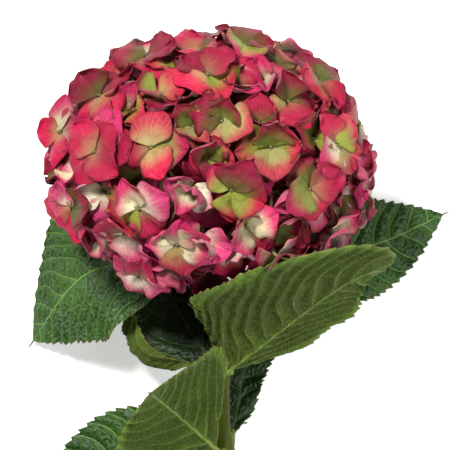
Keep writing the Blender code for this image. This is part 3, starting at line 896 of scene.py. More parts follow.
def chance_looks(place, draw):
    """Sepal looks for a floret by its side of the head: dusky above, which is partly the florets' own
    colour and partly painted shade, pale below, rosy on the left.
    """
    x, y, z = (place - HEAD_MIDDLE) / MM
    colours = ["crimson", "rose", "coral", "lime_coral", "olive", "lime_rose", "scarlet"]
    # Dusky colours are drawn more often above: partly the florets' own colour, partly painted shade on
    # the head's upper side
    if y > 25:
        colours += ["dusk", "wine", "olive", "crimson", "dusk"]
    if y < -20:
        colours += ["pink", "cream_rose", "cream", "pink", "rose"]
    if x < -35:
        colours += ["rose", "pink", "crimson", "cream_rose"]
    if z < HEAD_MIDDLE.z / MM - 20:
        colours += ["cream_rose", "lime_rose", "lime", "pink"]
    main = draw.choice(colours)
    poses = ("open", "pillow", "cup", "droop", "wave", "flat")
    looks = []
    for _ in range(4):
        colour = main if draw.random() < MAIN_COLOUR_SHARE else draw.choice(colours)
        looks.append(f"{colour} {draw.choice(poses)}")
    return looks


def knob_middles():
    """The knobs in which the pedicels meet: one on the leader and two on each side branch."""
    middles = []
    for name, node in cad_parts.items():
        if name.startswith("branch_"):
            points = [vert.co.copy() for vert in node.data.vertices]
            ends = []
            for point in sorted(points, key=lambda point: -(point - in_frame(CROWN)).length):
                if all((point - end).length > KNOB_SPACING for end in ends):
                    ends.append(point)
            for end in ends[: 1 if name == "branch_leader" else 2]:
                near = [point for point in points if (point - end).length < 2 * KNOB_RADIUS * MM]
                middles.append(sum(near, Vector()) / len(near))
    return middles


def shell_place(x, y, share):
    """A place on the upper half of the head's shell, drawn in to a share of its size."""
    unit = Vector((x / SHELL.x, y / SHELL.y)) / share
    if unit.length > RIM_SHARE:
        unit *= RIM_SHARE / unit.length
    height = math.sqrt(1 - unit.length_squared)
    return HEAD_MIDDLE + Vector((*unit, height)) * SHELL * share * MM


def out_of_head(place):
    out = place - HEAD_MIDDLE
    square = Vector((out.x / SHELL.x**2, out.y / SHELL.y**2, out.z / SHELL.z**2)).normalized()
    return (out.normalized() + square).normalized()


def lean(normal, draw, degrees):
    """Tilts a direction a little, by chance."""
    aside = Vector((draw.uniform(-1, 1), draw.uniform(-1, 1), draw.uniform(-1, 1)))
    return (normal + aside * math.tan(math.radians(degrees))).normalized()


class HYDRANGEA_OT_outer_florets(Operator):
    """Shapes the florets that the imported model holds"""

    bl_idname = "hydrangea.outer_florets"
    bl_label = "Build outer florets"

    def execute(self, context):
        settings = context.scene.hydrangea_florets
        names = sorted(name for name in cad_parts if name.startswith("floret_"))
        if not names:
            raise RuntimeError("the packed model has no florets")
        for number, name in enumerate(names):
            draw = random.Random(settings.seed * 1000 + number)
            packed = PackedFloret(name)
            looks = FACING_FLORETS.get(name) or chance_looks(packed.place.translation, draw)
            place = turned_up(packed.place)
            sepals = [
                Sepal(heading, length, look, draw, settings.breadth, place[2][2])
                for heading, length, look in zip(packed.headings, packed.lengths, looks)
            ]
            make_floret(f"{name}_petals", place, sepals, packed.foot, settings, [name])
        return {"FINISHED"}


class InnerHead:
    """Grows florets inside the head, one after the other, under the hearts of those before."""

    def __init__(self, settings):
        self.settings = settings
        self.draw = random.Random(settings.seed)
        self.knobs = knob_middles()
        self.count = 0
        self.hearts = []
        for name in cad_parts:
            if name.startswith("floret_"):
                place = turned_up(PackedFloret(name).place)
                self.hearts.append((place.translation, place.to_3x3() @ UP))

    def grow(self, middle, width, heading, looks, most_lean):
        normal = lean(out_of_head(middle), self.draw, most_lean)
        place = turned_up(floret_axes(middle, normal, heading))
        near = [heart for heart in self.hearts if (heart[0] - middle).length < HEART_REACH * MM]
        sepals = []
        for corner, look in enumerate(looks):
            length = width / 2 * MM * self.draw.uniform(0.86, 1.04)
            turn = math.tau * corner / 4
            breadth = self.settings.breadth
            sepals.append(Sepal(turn, length, look, self.draw, breadth, place[2][2], CROWDING))
        knob = min(self.knobs, key=lambda spot: (spot - middle).length)
        foot = knob + (middle - knob).normalized() * KNOB_RADIUS * MM
        self.count += 1
        make_floret(f"inner_floret_{self.count:02d}", place, sepals, foot, self.settings, hearts=near)
        self.hearts.append((middle, place.to_3x3() @ UP))


class HYDRANGEA_OT_inner_florets(Operator):
    """Shapes the florets between and under the outer ones"""

    bl_idname = "hydrangea.inner_florets"
    bl_label = "Build inner florets"

    def execute(self, context):
        settings = context.scene.hydrangea_florets
        head = InnerHead(settings)
        for x, y, share, width, heading, looks in INNER_FLORETS:
            middle = shell_place(x, y, share * INNER_SHARE)
            head.grow(middle, width, math.radians(heading), looks, INNER_LEAN)
        taken = [middle for middle, normal in head.hearts]
        fillers = gaps_in_head(taken, settings.filling, FILLING_SHARE)
        fillers += gaps_in_head([], settings.under_layer, UNDER_SHARE)
        for middle in fillers:
            looks = chance_looks(middle, head.draw)
            width = head.draw.uniform(*FILLING_WIDTHS)
            heading = head.draw.uniform(0, math.tau)
            head.grow(middle, width, heading, looks, FILLING_LEAN)
        return {"FINISHED"}


def gaps_in_head(taken, count, share):
    """Places inside the shell that lie farthest from the florets already there."""
    candidates = []
    for number in range(SHELL_POINTS):
        angle = math.acos(1 - 2 * (number + 0.5) / SHELL_POINTS)
        around = number * GOLDEN_ANGLE
        side = math.sin(angle)
        unit = Vector((side * math.cos(around), math.cos(angle), side * math.sin(around)))
        if angle < SHELL_END:
            candidates.append(HEAD_MIDDLE + unit * SHELL * share * MM)
    places = []
    for _ in range(count):
        known = taken + places or [HEAD_MIDDLE]
        best = max(candidates, key=lambda spot: min((spot - other).length for other in known))
        candidates.remove(best)
        places.append(best)
    return places


# Leaves


class Leaf:
    """A leaf's joint on the stem, midrib, facing, half widths, folds and tone. The tone sets the under
    side's colour, the painted shade on the face and the painted light along the under side's margin.

    A lobe widens the second half at its base, and a hem folds the margin of the first one over.
    Steady keeps the blade's sides level where the midrib swings, from 0 to 1."""

    def __init__(self, name, joint, midrib, face, widths, bell, folds, tone, lobe=0, hem=None, steady=0):
        self.name = name
        self.joint = Vector(joint)
        self.midrib = [Vector(point) for point in midrib]
        self.face = [Vector(end).normalized() for end in face]
        self.widths = widths
        self.bell = bell
        self.folds = folds
        self.tone = tone
        self.lobe = lobe
        self.hem = hem
        self.steady = steady


UPPER_JOINT = (1.5, -71, 54.5)
MIDDLE_JOINT = (7, -118, 40.5)
LOWER_JOINT = (9.5, -165, 27)
BOTTOM_JOINT = (12.5, -188, 20.5)
# A leaf's tone picks its under-side colour and its painted shade and light: the deep tone marks the
# inner leaves, painted darkest because they lie in shadow under the head
LEAVES = (
    Leaf(
        "leaf_upper_left",
        UPPER_JOINT,
        ((-14, -66, 50), (-36, -60, 44), (-62, -59, 35), (-82, -72, 24), (-107, -107, 2)),
        ((-0.1, 0.5, 0.85), (-0.45, 0.2, 0.85)),
        (42, 58),
        1.45,
        (((-4, -12), (-2, -10)), ((-6, -16), (-4, -10))),
        "olive",
        steady=0.55,
    ),
    Leaf(
        "leaf_upper_right",
        UPPER_JOINT,
        ((17, -68, 49), (48, -61, 36), (80, -51, 26), (108, -42, 15), (143, -26, 2)),
        ((0.1, 0.3, 0.95), (0.45, 0.2, 0.88)),
        (35, 30),
        1.2,
        (((-4, -12), (-2, -10)), ((-6, -16), (-4, -10))),
        "olive",
    ),
    Leaf(
        "leaf_middle_front",
        MIDDLE_JOINT,
        ((12, -117, 46), (29, -104, 59), (50, -87, 76), (73, -70, 89), (91, -61, 87), (101, -60, 75)),
        ((-0.16, 0.8, -0.58), (-0.38, 0.72, -0.58)),
        (42, 61),
        0.7,
        (((22, 18), (4, 0)), ((16, 22), (-14, -20))),
        "olive",
        lobe=0.95,
    ),
    Leaf(
        "leaf_middle_back",
        MIDDLE_JOINT,
        ((2, -114, 31), (-4, -106, 27), (-11, -96, 22), (-19, -82, 16), (-27, -66, 10), (-36, -50, 4)),
        ((0.1, -0.1, 1), (0.1, 0.1, 1)),
        (50, 30),
        1.05,
        (((4, 14), (14, 18)), ((6, 4), (6, 4))),
        "deep",
        hem=(0.74, 128),
    ),
    Leaf(
        "leaf_lower_front",
        LOWER_JOINT,
        ((3, -163, 46), (-7, -153, 60), (-18, -142, 78), (-27, -133, 100), (-33, -127, 122)),
        ((-0.45, 0.5, -0.72), (-0.7, 0.62, -0.2)),
        (46, 46),
        0.9,
        (((28, 42), (-8, -8)), ((0, 4), (4, 8))),
        "grey",
    ),
    Leaf(
        "leaf_lower_back",
        LOWER_JOINT,
        ((14, -156, 20), (18, -140, 14), (21, -122, 10), (32, -104, 7), (47, -90, 5), (64, -76, 3)),
        ((0, 0, 1), (0, 0, 1)),
        (20, 12),
        0.8,
        (((12, 20), (8, 10)), ((12, 20), (8, 10))),
        "deep",
    ),
    Leaf(
        "leaf_bottom_left",
        BOTTOM_JOINT,
        ((1, -182, 18), (-22, -174, 16), (-48, -171, 13), (-74, -178, 8), (-106, -197, 2)),
        ((0, 0.1, 1), (-0.2, 0, 1)),
        (31, 30),
        0.85,
        (((4, -4), (2, -6)), ((4, -4), (2, -6))),
        "olive",
    ),
)

# How far a finished piece's box may be from its packed one, in metres
MOST_OFF = 0.012

# A blade's outline: how round, where the drip tip starts, the lobe, and the teeth on a hem
ROUNDNESS = 0.8
DRIP_TIP = 0.97
TIP_TAPER = 0.3
LOBE_REACH = 0.05
LOBE_SWEEP = 0.4
HEM_TEETH = 0.35
HEM_SOFTNESS = 0.12
MARGIN_POWER = 14
OTHER_TEETH = 0.37
OTHER_VEINS = 0.42
WAVE_RATE = 0.16
WAVE_HEIGHT = 1.5
LOWEST_BLADE = 0.8
STALK_RADIUS = 1.9
STALK_STEPS = 18
STALK_SIDES = 16
STALK_SEAT = 0.8
STALK_OVERLAP = 0.12
FOLD_START = 0.25
FOLD_SPAN = 0.5

# Ribs that stand out on the under side: height in metres and half width in mm
MIDRIB_HEIGHT = 0.0015
MIDRIB_WIDTH = 1.5
SIDE_RIB_HEIGHT = 0.00055
SIDE_RIB_WIDTH = 0.65

# Side veins: how far apart on the midrib, how they lean and arch, and the rungs between them, in mm
VEIN_SPACING = 12.5
VEIN_LEAN = 0.70
VEIN_ARCH = 0.011
RUNG_SPACING = 4.6
RUNG_VEE = 1.1
UNDER_TONES = {
    "olive": (0.045, 0.070, 0.008),
    "grey": (0.042, 0.073, 0.007),
    "deep": (0.048, 0.075, 0.012),
}
# Painted light along the under side's margin, by tone: faint on the deep leaves, which lie in shadow
EDGE_PAINTED_LIGHT = {"olive": 0.55, "grey": 0.5, "deep": 0.16}
# Painted shade on the glossy side, by tone: the inner leaves of the deep tone lie in shadow under the
# head, so their faces are darkened most
FACE_PAINTED_SHADE = {"olive": 1.0, "grey": 0.8, "deep": 0.38}
FACE_VEIN = (0.120, 0.260, 0.045)
FACE_MARGIN = (0.16, 0.14, 0.03)
DRY_TIP = (0.10, 0.05, 0.02)
BACK_NET = (0.17, 0.24, 0.045)
BACK_RUNG = (0.19, 0.26, 0.050)
BACK_VEIN = (0.24, 0.32, 0.065)
BACK_EDGE_PAINTED_LIGHT = (0.22, 0.36, 0.05)
BACK_MARGIN = (0.22, 0.16, 0.05)


def vein_count(down, out, whole):
    """Counts side veins: a whole number on each, for a place in mm down the midrib and out from it."""
    sway = 0.11 * math.sin(out * 0.21 + whole * 9) + 0.08 * math.sin(down * 0.19 + out * 0.13)
    return (down - out * VEIN_LEAN - out * out * VEIN_ARCH) / VEIN_SPACING + whole + sway


def rung_count(down, out, veins):
    """Counts the small veins that cross from one side vein to the next, in a shallow V."""
    between = abs(veins - math.floor(veins) - 0.5)
    sway = 0.35 * math.sin(down * 0.35) + 0.25 * math.sin(down * 0.9 + out * 0.6)
    return out / RUNG_SPACING + 0.37 * math.floor(veins) + RUNG_VEE * between + sway


def hump(count):
    """1 half way between two whole numbers and 0 on them."""
    return abs(math.sin(math.pi * count))


def leaf_section(folds, share, columns, hem):
    """Out and up of a half blade at each column from the midrib, as shares of its width.

    A hem is where the margin turns up and in over the blade, and how far it turns."""
    inner, outer = (math.radians(base + (tip - base) * share) for base, tip in zip(*folds))
    out = 0
    up = 0
    section = [(0, 0)]
    for column in range(columns):
        across = (column + 0.5) / columns
        bend = min(1, max(0, (across - FOLD_START) / FOLD_SPAN))
        angle = inner + (outer - inner) * bend * bend * (3 - 2 * bend)
        if hem:
            start = hem[0] - HEM_SOFTNESS / 2
            angle += math.radians(hem[1]) * min(1, max(0, (across - start) / HEM_SOFTNESS))
        out += math.cos(angle) / columns
        up += math.sin(angle) / columns
        section.append((out, up))
    return section


class Blade:
    """A leaf's blade, worked out row by row along its midrib. Its lengths are in mm."""

    def __init__(self, leaf, settings):
        self.leaf = leaf
        self.stations = settings.stations
        self.half_columns = settings.columns // 2
        self.tooth = settings.tooth_spacing / MM
        self.depth = settings.tooth_depth / MM
        self.pucker = settings.pucker
        self.route = smooth_route(leaf.midrib, self.stations)
        self.headings = directions(self.route)
        self.chord = (self.route[-1] - self.route[0]).normalized()
        self.lengths = [0]
        for near, far in zip(self.route, self.route[1:]):
            self.lengths.append(self.lengths[-1] + (far - near).length)
        self.rows = [self.row(station) for station in range(self.stations + 1)]

    def row(self, station):
        """The side and lift directions, the outlines and the sections of both halves."""
        leaf = self.leaf
        share = station / self.stations
        heading = self.headings[station]
        face = leaf.face[0].lerp(leaf.face[1], share)
        side = face.cross(heading.lerp(self.chord, leaf.steady)).normalized()
        lift = heading.cross(side).normalized()
        taper = 1 - TIP_TAPER * share**8
        outline = math.sin(math.pi * min(1, share / DRIP_TIP) ** leaf.bell) ** ROUNDNESS * taper
        lobe = leaf.lobe * min(1, share / LOBE_REACH) ** 0.5 * (1 - 2 * share)
        sections = [
            leaf_section(fold, share, self.half_columns, hem)
            for fold, hem in zip(leaf.folds, (leaf.hem, None))
        ]
        return side, lift, (outline, max(outline, lobe)), sections

    def point(self, station, column):
        """A point's plan place, its place on the blade, its vein count and its quilted height."""
        leaf = self.leaf
        share = station / self.stations
        side, lift, outlines, sections = self.rows[station]
        half = 0 if column > 0 else 1
        outline = outlines[half]
        across = abs(column) / self.half_columns
        reach = max(leaf.widths[half] * outline, STALK_RADIUS * (1 - share) ** 0.35)
        out, up = sections[half][abs(column)]
        down = self.lengths[station]
        saw = (down / self.tooth + (OTHER_TEETH if half else 0)) % 1
        bite = (saw - 0.55) * self.depth * min(1, outline * 2.2) * across**MARGIN_POWER
        if leaf.hem and not half:
            bite *= HEM_TEETH
        out_mm = reach * across
        wave = math.sin(down * WAVE_RATE + half * 2.1) * WAVE_HEIGHT * across**3 * outline
        spot = self.route[station] + side * math.copysign(out * reach + bite, column)
        spot += lift * (up * reach + wave)
        swept = leaf.lobe * LOBE_SWEEP * max(0, 1 - 4 * share) if half else 0
        spot += self.headings[station] * (bite * 0.7 + out_mm * swept)
        veins = vein_count(down, out_mm, OTHER_VEINS if half else 0)
        quilt = hump(veins) ** 0.8 * (0.5 + 0.5 * hump(rung_count(down, out_mm, veins)))
        calm = min(1, out_mm / 4) * (1 - 0.55 * across**6) * min(1, outline * 2)
        measures = Vector((down, math.copysign(out_mm, column), across))
        return spot, measures, veins, self.pucker * calm * (quilt - 0.5)


def add_blade(bm, leaf, settings, layers):
    """A fine grid bent to the leaf's shape, with teeth, quilting and sunk veins."""
    blade = Blade(leaf, settings)
    stations, half_columns = blade.stations, blade.half_columns
    grid = bmesh.ops.create_grid(bm, x_segments=stations, y_segments=half_columns * 2, size=0.5)["verts"]
    heights = {}
    tip_row = []
    for vert in grid:
        station = round((vert.co.x + 0.5) * stations)
        column = round(vert.co.y * 2 * half_columns)
        spot, measures, veins, height = blade.point(station, column)
        vert.co = in_frame(spot)
        vert.co.z = max(vert.co.z, LOWEST_BLADE * MM)
        vert[layers["leaf"]] = measures
        vert[layers["reach"]] = Vector((station / stations, veins, 0))
        heights[vert] = height
        if station == stations:
            tip_row.append(vert)
    bmesh.ops.pointmerge(bm, verts=tip_row, merge_co=in_frame(blade.route[-1]))
    bm.normal_update()
    if sum(face.normal.dot(leaf.face[0]) for face in bm.faces) < 0:
        bmesh.ops.reverse_faces(bm, faces=bm.faces)
        bm.normal_update()
    moves = {vert: vert.normal * height for vert, height in heights.items() if vert.is_valid}
    for vert, move in moves.items():
        vert.co += move
        vert.co.z = max(vert.co.z, LOWEST_BLADE * MM)


def raise_under_veins(verts, layers):
    """Lifts midrib and side veins on the under side, so that they stand out as ribs."""
    for vert in verts:
        _, out, across = vert[layers["leaf"]]
        share, veins, _ = vert[layers["reach"]]
        away = abs(out)
        beside = abs(veins - round(veins)) * VEIN_SPACING * 0.8
        rib = MIDRIB_HEIGHT * (1.05 - share) * math.exp(-((away / MIDRIB_WIDTH) ** 2))
        vein = SIDE_RIB_HEIGHT * math.exp(-((beside / SIDE_RIB_WIDTH) ** 2))
        vein *= (1 - across**3) * (1.1 - share)
        vert.co -= vert[layers["outward"]] * (rib + vein)
        vert.co.z = max(vert.co.z, TABLE_CLEARANCE * MM)


def vein_mask(finish):
    """Midrib, side veins, rungs and net, each 1 on the vein, and the place across and along."""
    _, out, across = finish.parts(finish.attribute("leaf"))
    share, veins, _ = finish.parts(finish.attribute("reach"))
    away = out.size()
    side = veins.line(0.13)
    count = away / RUNG_SPACING + (veins - 0.5).line(1) * RUNG_VEE + finish.noise(60) * 1.5
    rungs = count.line(0.17)
    rib = (1 - away.smooth(0.2, 1.05 - share * 0.6)) * (1 - share.smooth(0.90, 0.97))
    net = 1 - finish.cells(370).smooth(0.0, 0.15)
    return rib, side, rungs, net, across, share


def leaf_face(shade):
    """Glossy green with paler sunk veins. The shade is painted shade: it darkens the faces of the leaves
    that lie in shadow, the inner ones most.
    """

    def make(name):
        settings = bpy.context.scene.hydrangea_leaves
        finish = Finish(name)
        rib, side, rungs, net, across, share = vein_mask(finish)
        cloud = finish.noise(38, 3.0)
        # Painted shade: the greens and veins are darkened by the shade on leaves that lie in shadow
        dark = shaded(settings.face_green, shade)
        light = shaded(settings.face_light, shade)
        vein = shaded(FACE_VEIN, shade)
        colour = finish.mix(cloud.smooth(-0.15, 0.18), dark, light)
        colour = finish.mix(net * 0.26, colour, vein)
        colour = finish.mix(rungs * 0.55, colour, vein)
        colour = finish.mix(side * 0.90, colour, vein)
        colour = finish.mix(rib * 0.85, colour, shaded(vein, 1.3))
        colour = finish.mix(across.smooth(0.97, 1.0) * 0.65, colour, FACE_MARGIN)
        colour = finish.mix(share.smooth(0.965, 1.0), colour, DRY_TIP)
        finish.bump(cloud - net * 0.2 - rungs * 0.3 - side * 0.2, 0.0006, 0.8)
        return finish.wear(colour, 0.47 + cloud * 0.15, Specular_IOR_Level=0.40)

    return make


def leaf_back(tone):
    """Matt under side with raised veins a little paler than the blade, and a band of painted light along
    the margin.
    """

    def make(name):
        settings = bpy.context.scene.hydrangea_leaves
        finish = Finish(name)
        rib, side, rungs, net, across, _ = vein_mask(finish)
        cloud = finish.noise(50, 3.0)
        base = UNDER_TONES[tone]
        colour = finish.mix(cloud.smooth(-0.2, 0.2), base, shaded(base, 1.5))
        colour = finish.mix(net * 0.26, colour, BACK_NET)
        colour = finish.mix(rungs * 0.24, colour, BACK_RUNG)
        colour = finish.mix(side * 0.38, colour, BACK_VEIN)
        colour = finish.mix(rib * 0.9, colour, tuple(settings.vein_green))
        # Painted light: a brighter yellow-green band along the margin, where a turned-up fold catches
        # the light
        colour = finish.mix(across.smooth(0.78, 1.0) * EDGE_PAINTED_LIGHT[tone], colour, BACK_EDGE_PAINTED_LIGHT)
        colour = finish.mix(across.smooth(0.975, 1.0) * 0.6, colour, BACK_MARGIN)
        finish.bump(net * 0.5 + rungs * 0.6 + side * 0.5 + cloud, 0.0005, 0.9)
        return finish.wear(colour, 0.62 + cloud * 0.15, Specular_IOR_Level=0.12)

    return make


def stalk_radius(share):
    """Broad where the stalk clasps the stem and thin at the blade, in mm."""
    return STALK_RADIUS * (1 + 0.7 * (1 - share) ** 4) - 0.9 * share**3


def add_stalk(bm, leaf, layers):
    """The leaf's stalk, from a broad clasp on the stem to the base of the blade."""
    radius = min(STEM_ROUTE, key=lambda stop: (Vector(stop[:3]) - leaf.joint).length)[3]
    along = (CROWN - Vector(STEM_ROUTE[0][:3])).normalized()
    base = leaf.midrib[0]
    outward = base - leaf.joint
    outward -= along * outward.dot(along)
    outward.normalize()
    root = leaf.joint + outward * radius * STALK_SEAT
    inner = base.lerp(leaf.midrib[1], STALK_OVERLAP)
    stops = [root, root + outward * STALK_RADIUS * 2, base, inner]
    route = [in_frame(point) for point in smooth_route(stops, STALK_STEPS)]
    radii = [stalk_radius(step / STALK_STEPS) * MM for step in range(STALK_STEPS + 1)]
    skin = add_tube(bm, route, radii, STALK_SIDES, slot=STALK)
    for vert in {vert for face in skin for vert in face.verts}:
        vert[layers["leaf"]] = Vector((0, 0, 0))


class HYDRANGEA_OT_leaves(Operator):
    """Shapes the seven leaves with their teeth, quilting and veins"""

    bl_idname = "hydrangea.leaves"
    bl_label = "Build leaves"

    def execute(self, context):
        settings = context.scene.hydrangea_leaves
        for leaf in LEAVES:
            bm = bmesh.new()
            keys = ("outward", "leaf", "reach")
            layers = {key: bm.verts.layers.float_vector.new(key) for key in keys}
            add_blade(bm, leaf, settings, layers)
            below = set(thicken(bm, settings.thickness))
            raise_under_veins(below, layers)
            for face in bm.faces:
                face.material_index = BACK if below.issuperset(face.verts) else FACE
            add_stalk(bm, leaf, layers)
            materials = [
                finish_named(f"leaf_face_{leaf.tone}", leaf_face(FACE_PAINTED_SHADE[leaf.tone])),
                finish_named(f"leaf_back_{leaf.tone}", leaf_back(leaf.tone)),
                finish_named("stalk_skin", stalk_skin),
            ]
            piece = finish_piece(f"{leaf.name}_blade", bm, materials, [leaf.name])
            check_place(piece, leaf.name)
        return {"FINISHED"}


def check_place(piece, node):
    """Raises if a piece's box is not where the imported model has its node."""
    low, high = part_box(node)
    corners = [vert.co for vert in piece.data.vertices]
    for axis in range(3):
        lowest = min(corner[axis] for corner in corners)
        highest = max(corner[axis] for corner in corners)
        if abs(lowest - low[axis]) > MOST_OFF or abs(highest - high[axis]) > MOST_OFF:
            raise RuntimeError(f"{piece.name} is not where {node} is")


# Stem and branches

CORK = (0.10, 0.055, 0.025)
STALK_GREEN = (0.13, 0.20, 0.02)
STALK_LIGHT = (0.20, 0.27, 0.04)
BRANCH_BLUSH = (0.42, 0.15, 0.12)
PITH_DARK = (0.42, 0.40, 0.18)
PITH_PALE = (0.68, 0.66, 0.42)


def stem_skin(name):
    """Green skin with brownish streaks and corky spots, its colours darkened as painted shade."""
    settings = bpy.context.scene.hydrangea_stem
    finish = Finish(name)
    stretched = finish.node("ShaderNodeMapping", {}, {"Vector": finish.place(), "Scale": (1, 0.12, 1)})
    inputs = {"Vector": stretched.outputs[0], "Scale": 420, "Detail": 3.0}
    streaks = finish.value("ShaderNodeTexNoise", {}, inputs) - 0.5
    spots = finish.noise(330, 1.0).smooth(0.13, 0.20)
    share = streaks.smooth(-0.05, 0.25) * 0.6
    colour = finish.mix(share, tuple(settings.green), tuple(settings.blush))
    colour = finish.mix(spots * 0.8, colour, CORK)
    finish.bump(streaks * 1.2 + spots * 0.6, 0.0005, 0.7)
    return finish.wear(colour, 0.5 + streaks * 0.3, Specular_IOR_Level=0.12)


def stalk_skin(name):
    """Paler, juicier green than the stem."""
    finish = Finish(name)
    cloud = finish.noise(140, 3.0)
    colour = finish.mix(cloud.smooth(-0.2, 0.2), STALK_GREEN, STALK_LIGHT)
    finish.bump(cloud + finish.cells(900) * 0.6, 0.0003, 0.6)
    return finish.wear(colour, 0.5 + cloud * 0.2, Specular_IOR_Level=0.25)


def branch_skin(name):
    settings = bpy.context.scene.hydrangea_stem
    finish = Finish(name)
    cloud = finish.noise(150, 3.0)
    colour = finish.mix(cloud.smooth(-0.1, 0.25), tuple(settings.branch), BRANCH_BLUSH)
    finish.bump(cloud + finish.cells(1000) * 0.5, 0.0003, 0.6)
    return finish.wear(colour, 0.5 + cloud * 0.2)


def pith(name):
    """The pale cut face, with its small cells."""
    finish = Finish(name)
    cells = finish.cells(1600).smooth(0.0, 0.12)
    cloud = finish.noise(300, 3.0)
    colour = finish.mix(cells * 0.5 + cloud, PITH_DARK, PITH_PALE)
    finish.bump(cells, 0.0002, 0.6)
    return finish.wear(colour, 0.7 + cloud * 0.2)


def cut_end(bm, end, along, radius):
    """Slants the stem's lower end and lays the pith in the cut face."""
    cut = bmesh.ops.bisect_plane(
        bm,
        geom=bm.verts[:] + bm.edges[:] + bm.faces[:],
        plane_co=end - along * radius,
        plane_no=Matrix.Rotation(CUT_SLANT, 3, "Z") @ along,
        clear_outer=True,
    )
    edges = [item for item in cut["geom_cut"] if isinstance(item, bmesh.types.BMEdge)]
    caps = bmesh.ops.contextual_create(bm, geom=edges)["faces"]
    bark = bmesh.ops.inset_region(bm, faces=caps, thickness=CUT_BARK, depth=0)["faces"]
    rim = bmesh.ops.inset_region(bm, faces=caps, thickness=PITH_RIM, depth=-PITH_DEPTH)["faces"]
    for face in caps + bark + rim:
        face.material_index = PITH


class HYDRANGEA_OT_stem(Operator):
    """Shapes the stem with its leaf joints, slanting cut and crown"""

    bl_idname = "hydrangea.stem"
    bl_label = "Build stem"

    def execute(self, context):
        settings = context.scene.hydrangea_stem
        fine = smooth_route([Vector(stop) for stop in STEM_ROUTE], STEM_STEPS)
        route = [in_frame(stop.xyz) for stop in fine]
        radii = [stop.w * MM for stop in fine]
        bm = bmesh.new()
        skin = add_tube(bm, route, radii, settings.sides)
        for vert in {vert for face in skin for vert in face.verts}:
            spread = math.sin(vert.co.y / MM * STEM_RING_RATE) * STEM_RING_HEIGHT
            vert.co += vert.normal * spread
        cut_end(bm, route[0], (route[0] - route[1]).normalized(), radii[0])
        crown = Matrix.Translation(in_frame(CROWN))
        radius = CROWN_RADIUS * CROWN_TRIM * MM
        bmesh.ops.create_icosphere(bm, subdivisions=4, radius=radius, matrix=crown)
        materials = [finish_named("stem_skin", stem_skin), finish_named("pith", pith)]
        piece = finish_piece("stem_skin_and_cut", bm, materials, ["stem"])
        check_place(piece, "stem")
        return {"FINISHED"}


class HYDRANGEA_OT_branches(Operator):
    """Rounds the flower branches and their knobs"""

    bl_idname = "hydrangea.branches"
    bl_label = "Build flower branches"

    def execute(self, context):
        skin = finish_named("branch_skin", branch_skin)
        for name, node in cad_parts.items():
            if name.startswith("branch_"):
                bm = bmesh.new()
                bm.from_mesh(node.data)
                bmesh.ops.remove_doubles(bm, verts=bm.verts, dist=0.00001)
                bmesh.ops.subdivide_edges(bm, edges=bm.edges, cuts=2, use_grid_fill=True)
                for _ in range(4):
                    bmesh.ops.smooth_vert(
                        bm, verts=bm.verts, factor=0.5, use_axis_x=True, use_axis_y=True, use_axis_z=True
                    )
                bmesh.ops.recalc_face_normals(bm, faces=bm.faces)
                finish_piece(f"{name}_skin", bm, [skin], [name])
        return {"FINISHED"}


# Stage


def floor_paint(name):
    settings = bpy.context.scene.hydrangea_stage
    finish = Finish(name)
    grain = finish.noise(900, 2.0)
    pale = tuple(settings.floor_colour)
    colour = finish.mix(grain.smooth(-0.5, 0.5), pale, tuple(min(1, channel * 1.01) for channel in pale))
    finish.surface.inputs["Emission Color"].default_value = (1, 1, 1, 1)
    finish.surface.inputs["Emission Strength"].default_value = FLOOR_GLOW
    return finish.wear(colour, 0.9 + grain * 0.05, Specular_IOR_Level=0.0)


def add_light(name, place, target, size, power, colour):
    light = bpy.data.lights.new(name, "AREA")
    light.shape = "SQUARE"
    light.size = size
    light.energy = power
    light.color = colour
    lamp = bpy.data.objects.new(name, light)
    lamp.location = place
    lamp.rotation_euler = (target - place).to_track_quat("-Z", "Y").to_euler()
    bpy.context.scene.collection.objects.link(lamp)


def lay_floor(scene, settings):
    bm = bmesh.new()
    bmesh.ops.create_grid(bm, x_segments=2, y_segments=2, size=settings.floor_width / 2)
    mesh = bpy.data.meshes.new("floor")
    bm.to_mesh(mesh)
    bm.free()
    mesh.materials.append(finish_named("floor_paint", floor_paint))
    floor = bpy.data.objects.new("floor", mesh)
    scene.collection.objects.link(floor)


def set_lights(scene, settings):
    head = HEAD_MIDDLE
    add_light("key", head + KEY_PLACE, head, KEY_SIZE, settings.key_power, KEY_COLOUR)
    add_light("fill", head + FILL_PLACE, head, FILL_SIZE, settings.fill_power, FILL_COLOUR)
    world = bpy.data.worlds.new("studio")
    world.use_nodes = True
    sky = world.node_tree.nodes["Background"]
    sky.inputs["Color"].default_value = (1, 1, 1, 1)
    sky.inputs["Strength"].default_value = WORLD_STRENGTH
    scene.world = world


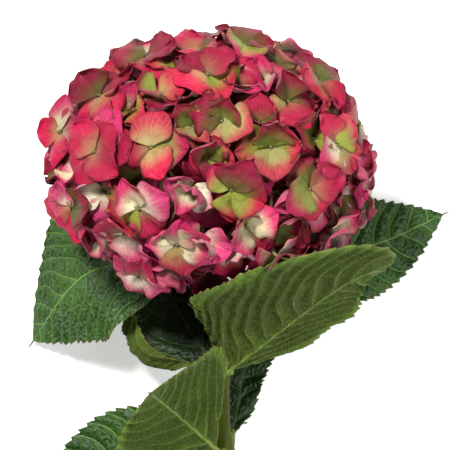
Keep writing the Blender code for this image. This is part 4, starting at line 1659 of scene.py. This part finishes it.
def set_camera(scene, settings):
    """Hangs the camera straight above the view's middle, looking down."""
    camera = bpy.data.cameras.new("camera")
    middle = in_frame((*VIEW_MIDDLE, HEAD_MIDDLE.z / MM))
    distance = settings.view_height - middle.z
    camera.lens = camera.sensor_width * distance / settings.view_width
    camera.clip_end = FARTHEST_SEEN
    seat = bpy.data.objects.new("camera", camera)
    seat.location = (middle.x, middle.y, settings.view_height)
    scene.collection.objects.link(seat)
    scene.camera = seat
    scene.view_settings.view_transform = "Standard"


class HYDRANGEA_OT_stage(Operator):
    """Lays the pale floor and sets the lights and the camera"""

    bl_idname = "hydrangea.stage"
    bl_label = "Build stage"

    def execute(self, context):
        settings = context.scene.hydrangea_stage
        lay_floor(context.scene, settings)
        set_lights(context.scene, settings)
        set_camera(context.scene, settings)
        return {"FINISHED"}


class HYDRANGEA_PT_panel(Panel):
    """Lists the builders and their settings"""

    bl_idname = "HYDRANGEA_PT_panel"
    bl_label = "Cut Hydrangea"
    bl_space_type = "VIEW_3D"
    bl_region_type = "UI"
    bl_category = "Hydrangea"

    def draw(self, context):
        for group in GROUPS:
            box = self.layout.box()
            for setting in group[1].__annotations__:
                box.prop(getattr(context.scene, group[0]), setting)
        for operator in OPERATORS:
            self.layout.operator(operator.bl_idname)


GROUPS = (
    ("hydrangea_florets", FloretSettings),
    ("hydrangea_leaves", LeafSettings),
    ("hydrangea_stem", StemSettings),
    ("hydrangea_stage", StageSettings),
)
OPERATORS = (
    HYDRANGEA_OT_stem,
    HYDRANGEA_OT_branches,
    HYDRANGEA_OT_leaves,
    HYDRANGEA_OT_outer_florets,
    HYDRANGEA_OT_inner_florets,
    HYDRANGEA_OT_stage,
)


def register():
    for name, group in GROUPS:
        bpy.utils.register_class(group)
        setattr(bpy.types.Scene, name, PointerProperty(type=group))
    for operator in OPERATORS:
        bpy.utils.register_class(operator)
    bpy.utils.register_class(HYDRANGEA_PT_panel)


def unregister():
    bpy.utils.unregister_class(HYDRANGEA_PT_panel)
    for operator in reversed(OPERATORS):
        bpy.utils.unregister_class(operator)
    for name, group in reversed(GROUPS):
        delattr(bpy.types.Scene, name)
        bpy.utils.unregister_class(group)


def main():
    register()
    bpy.ops.hydrangea.stem()
    bpy.ops.hydrangea.branches()
    bpy.ops.hydrangea.leaves()
    bpy.ops.hydrangea.outer_florets()
    bpy.ops.hydrangea.inner_florets()
    bpy.ops.hydrangea.stage()
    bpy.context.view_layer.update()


if __name__ == "__main__":
    main()
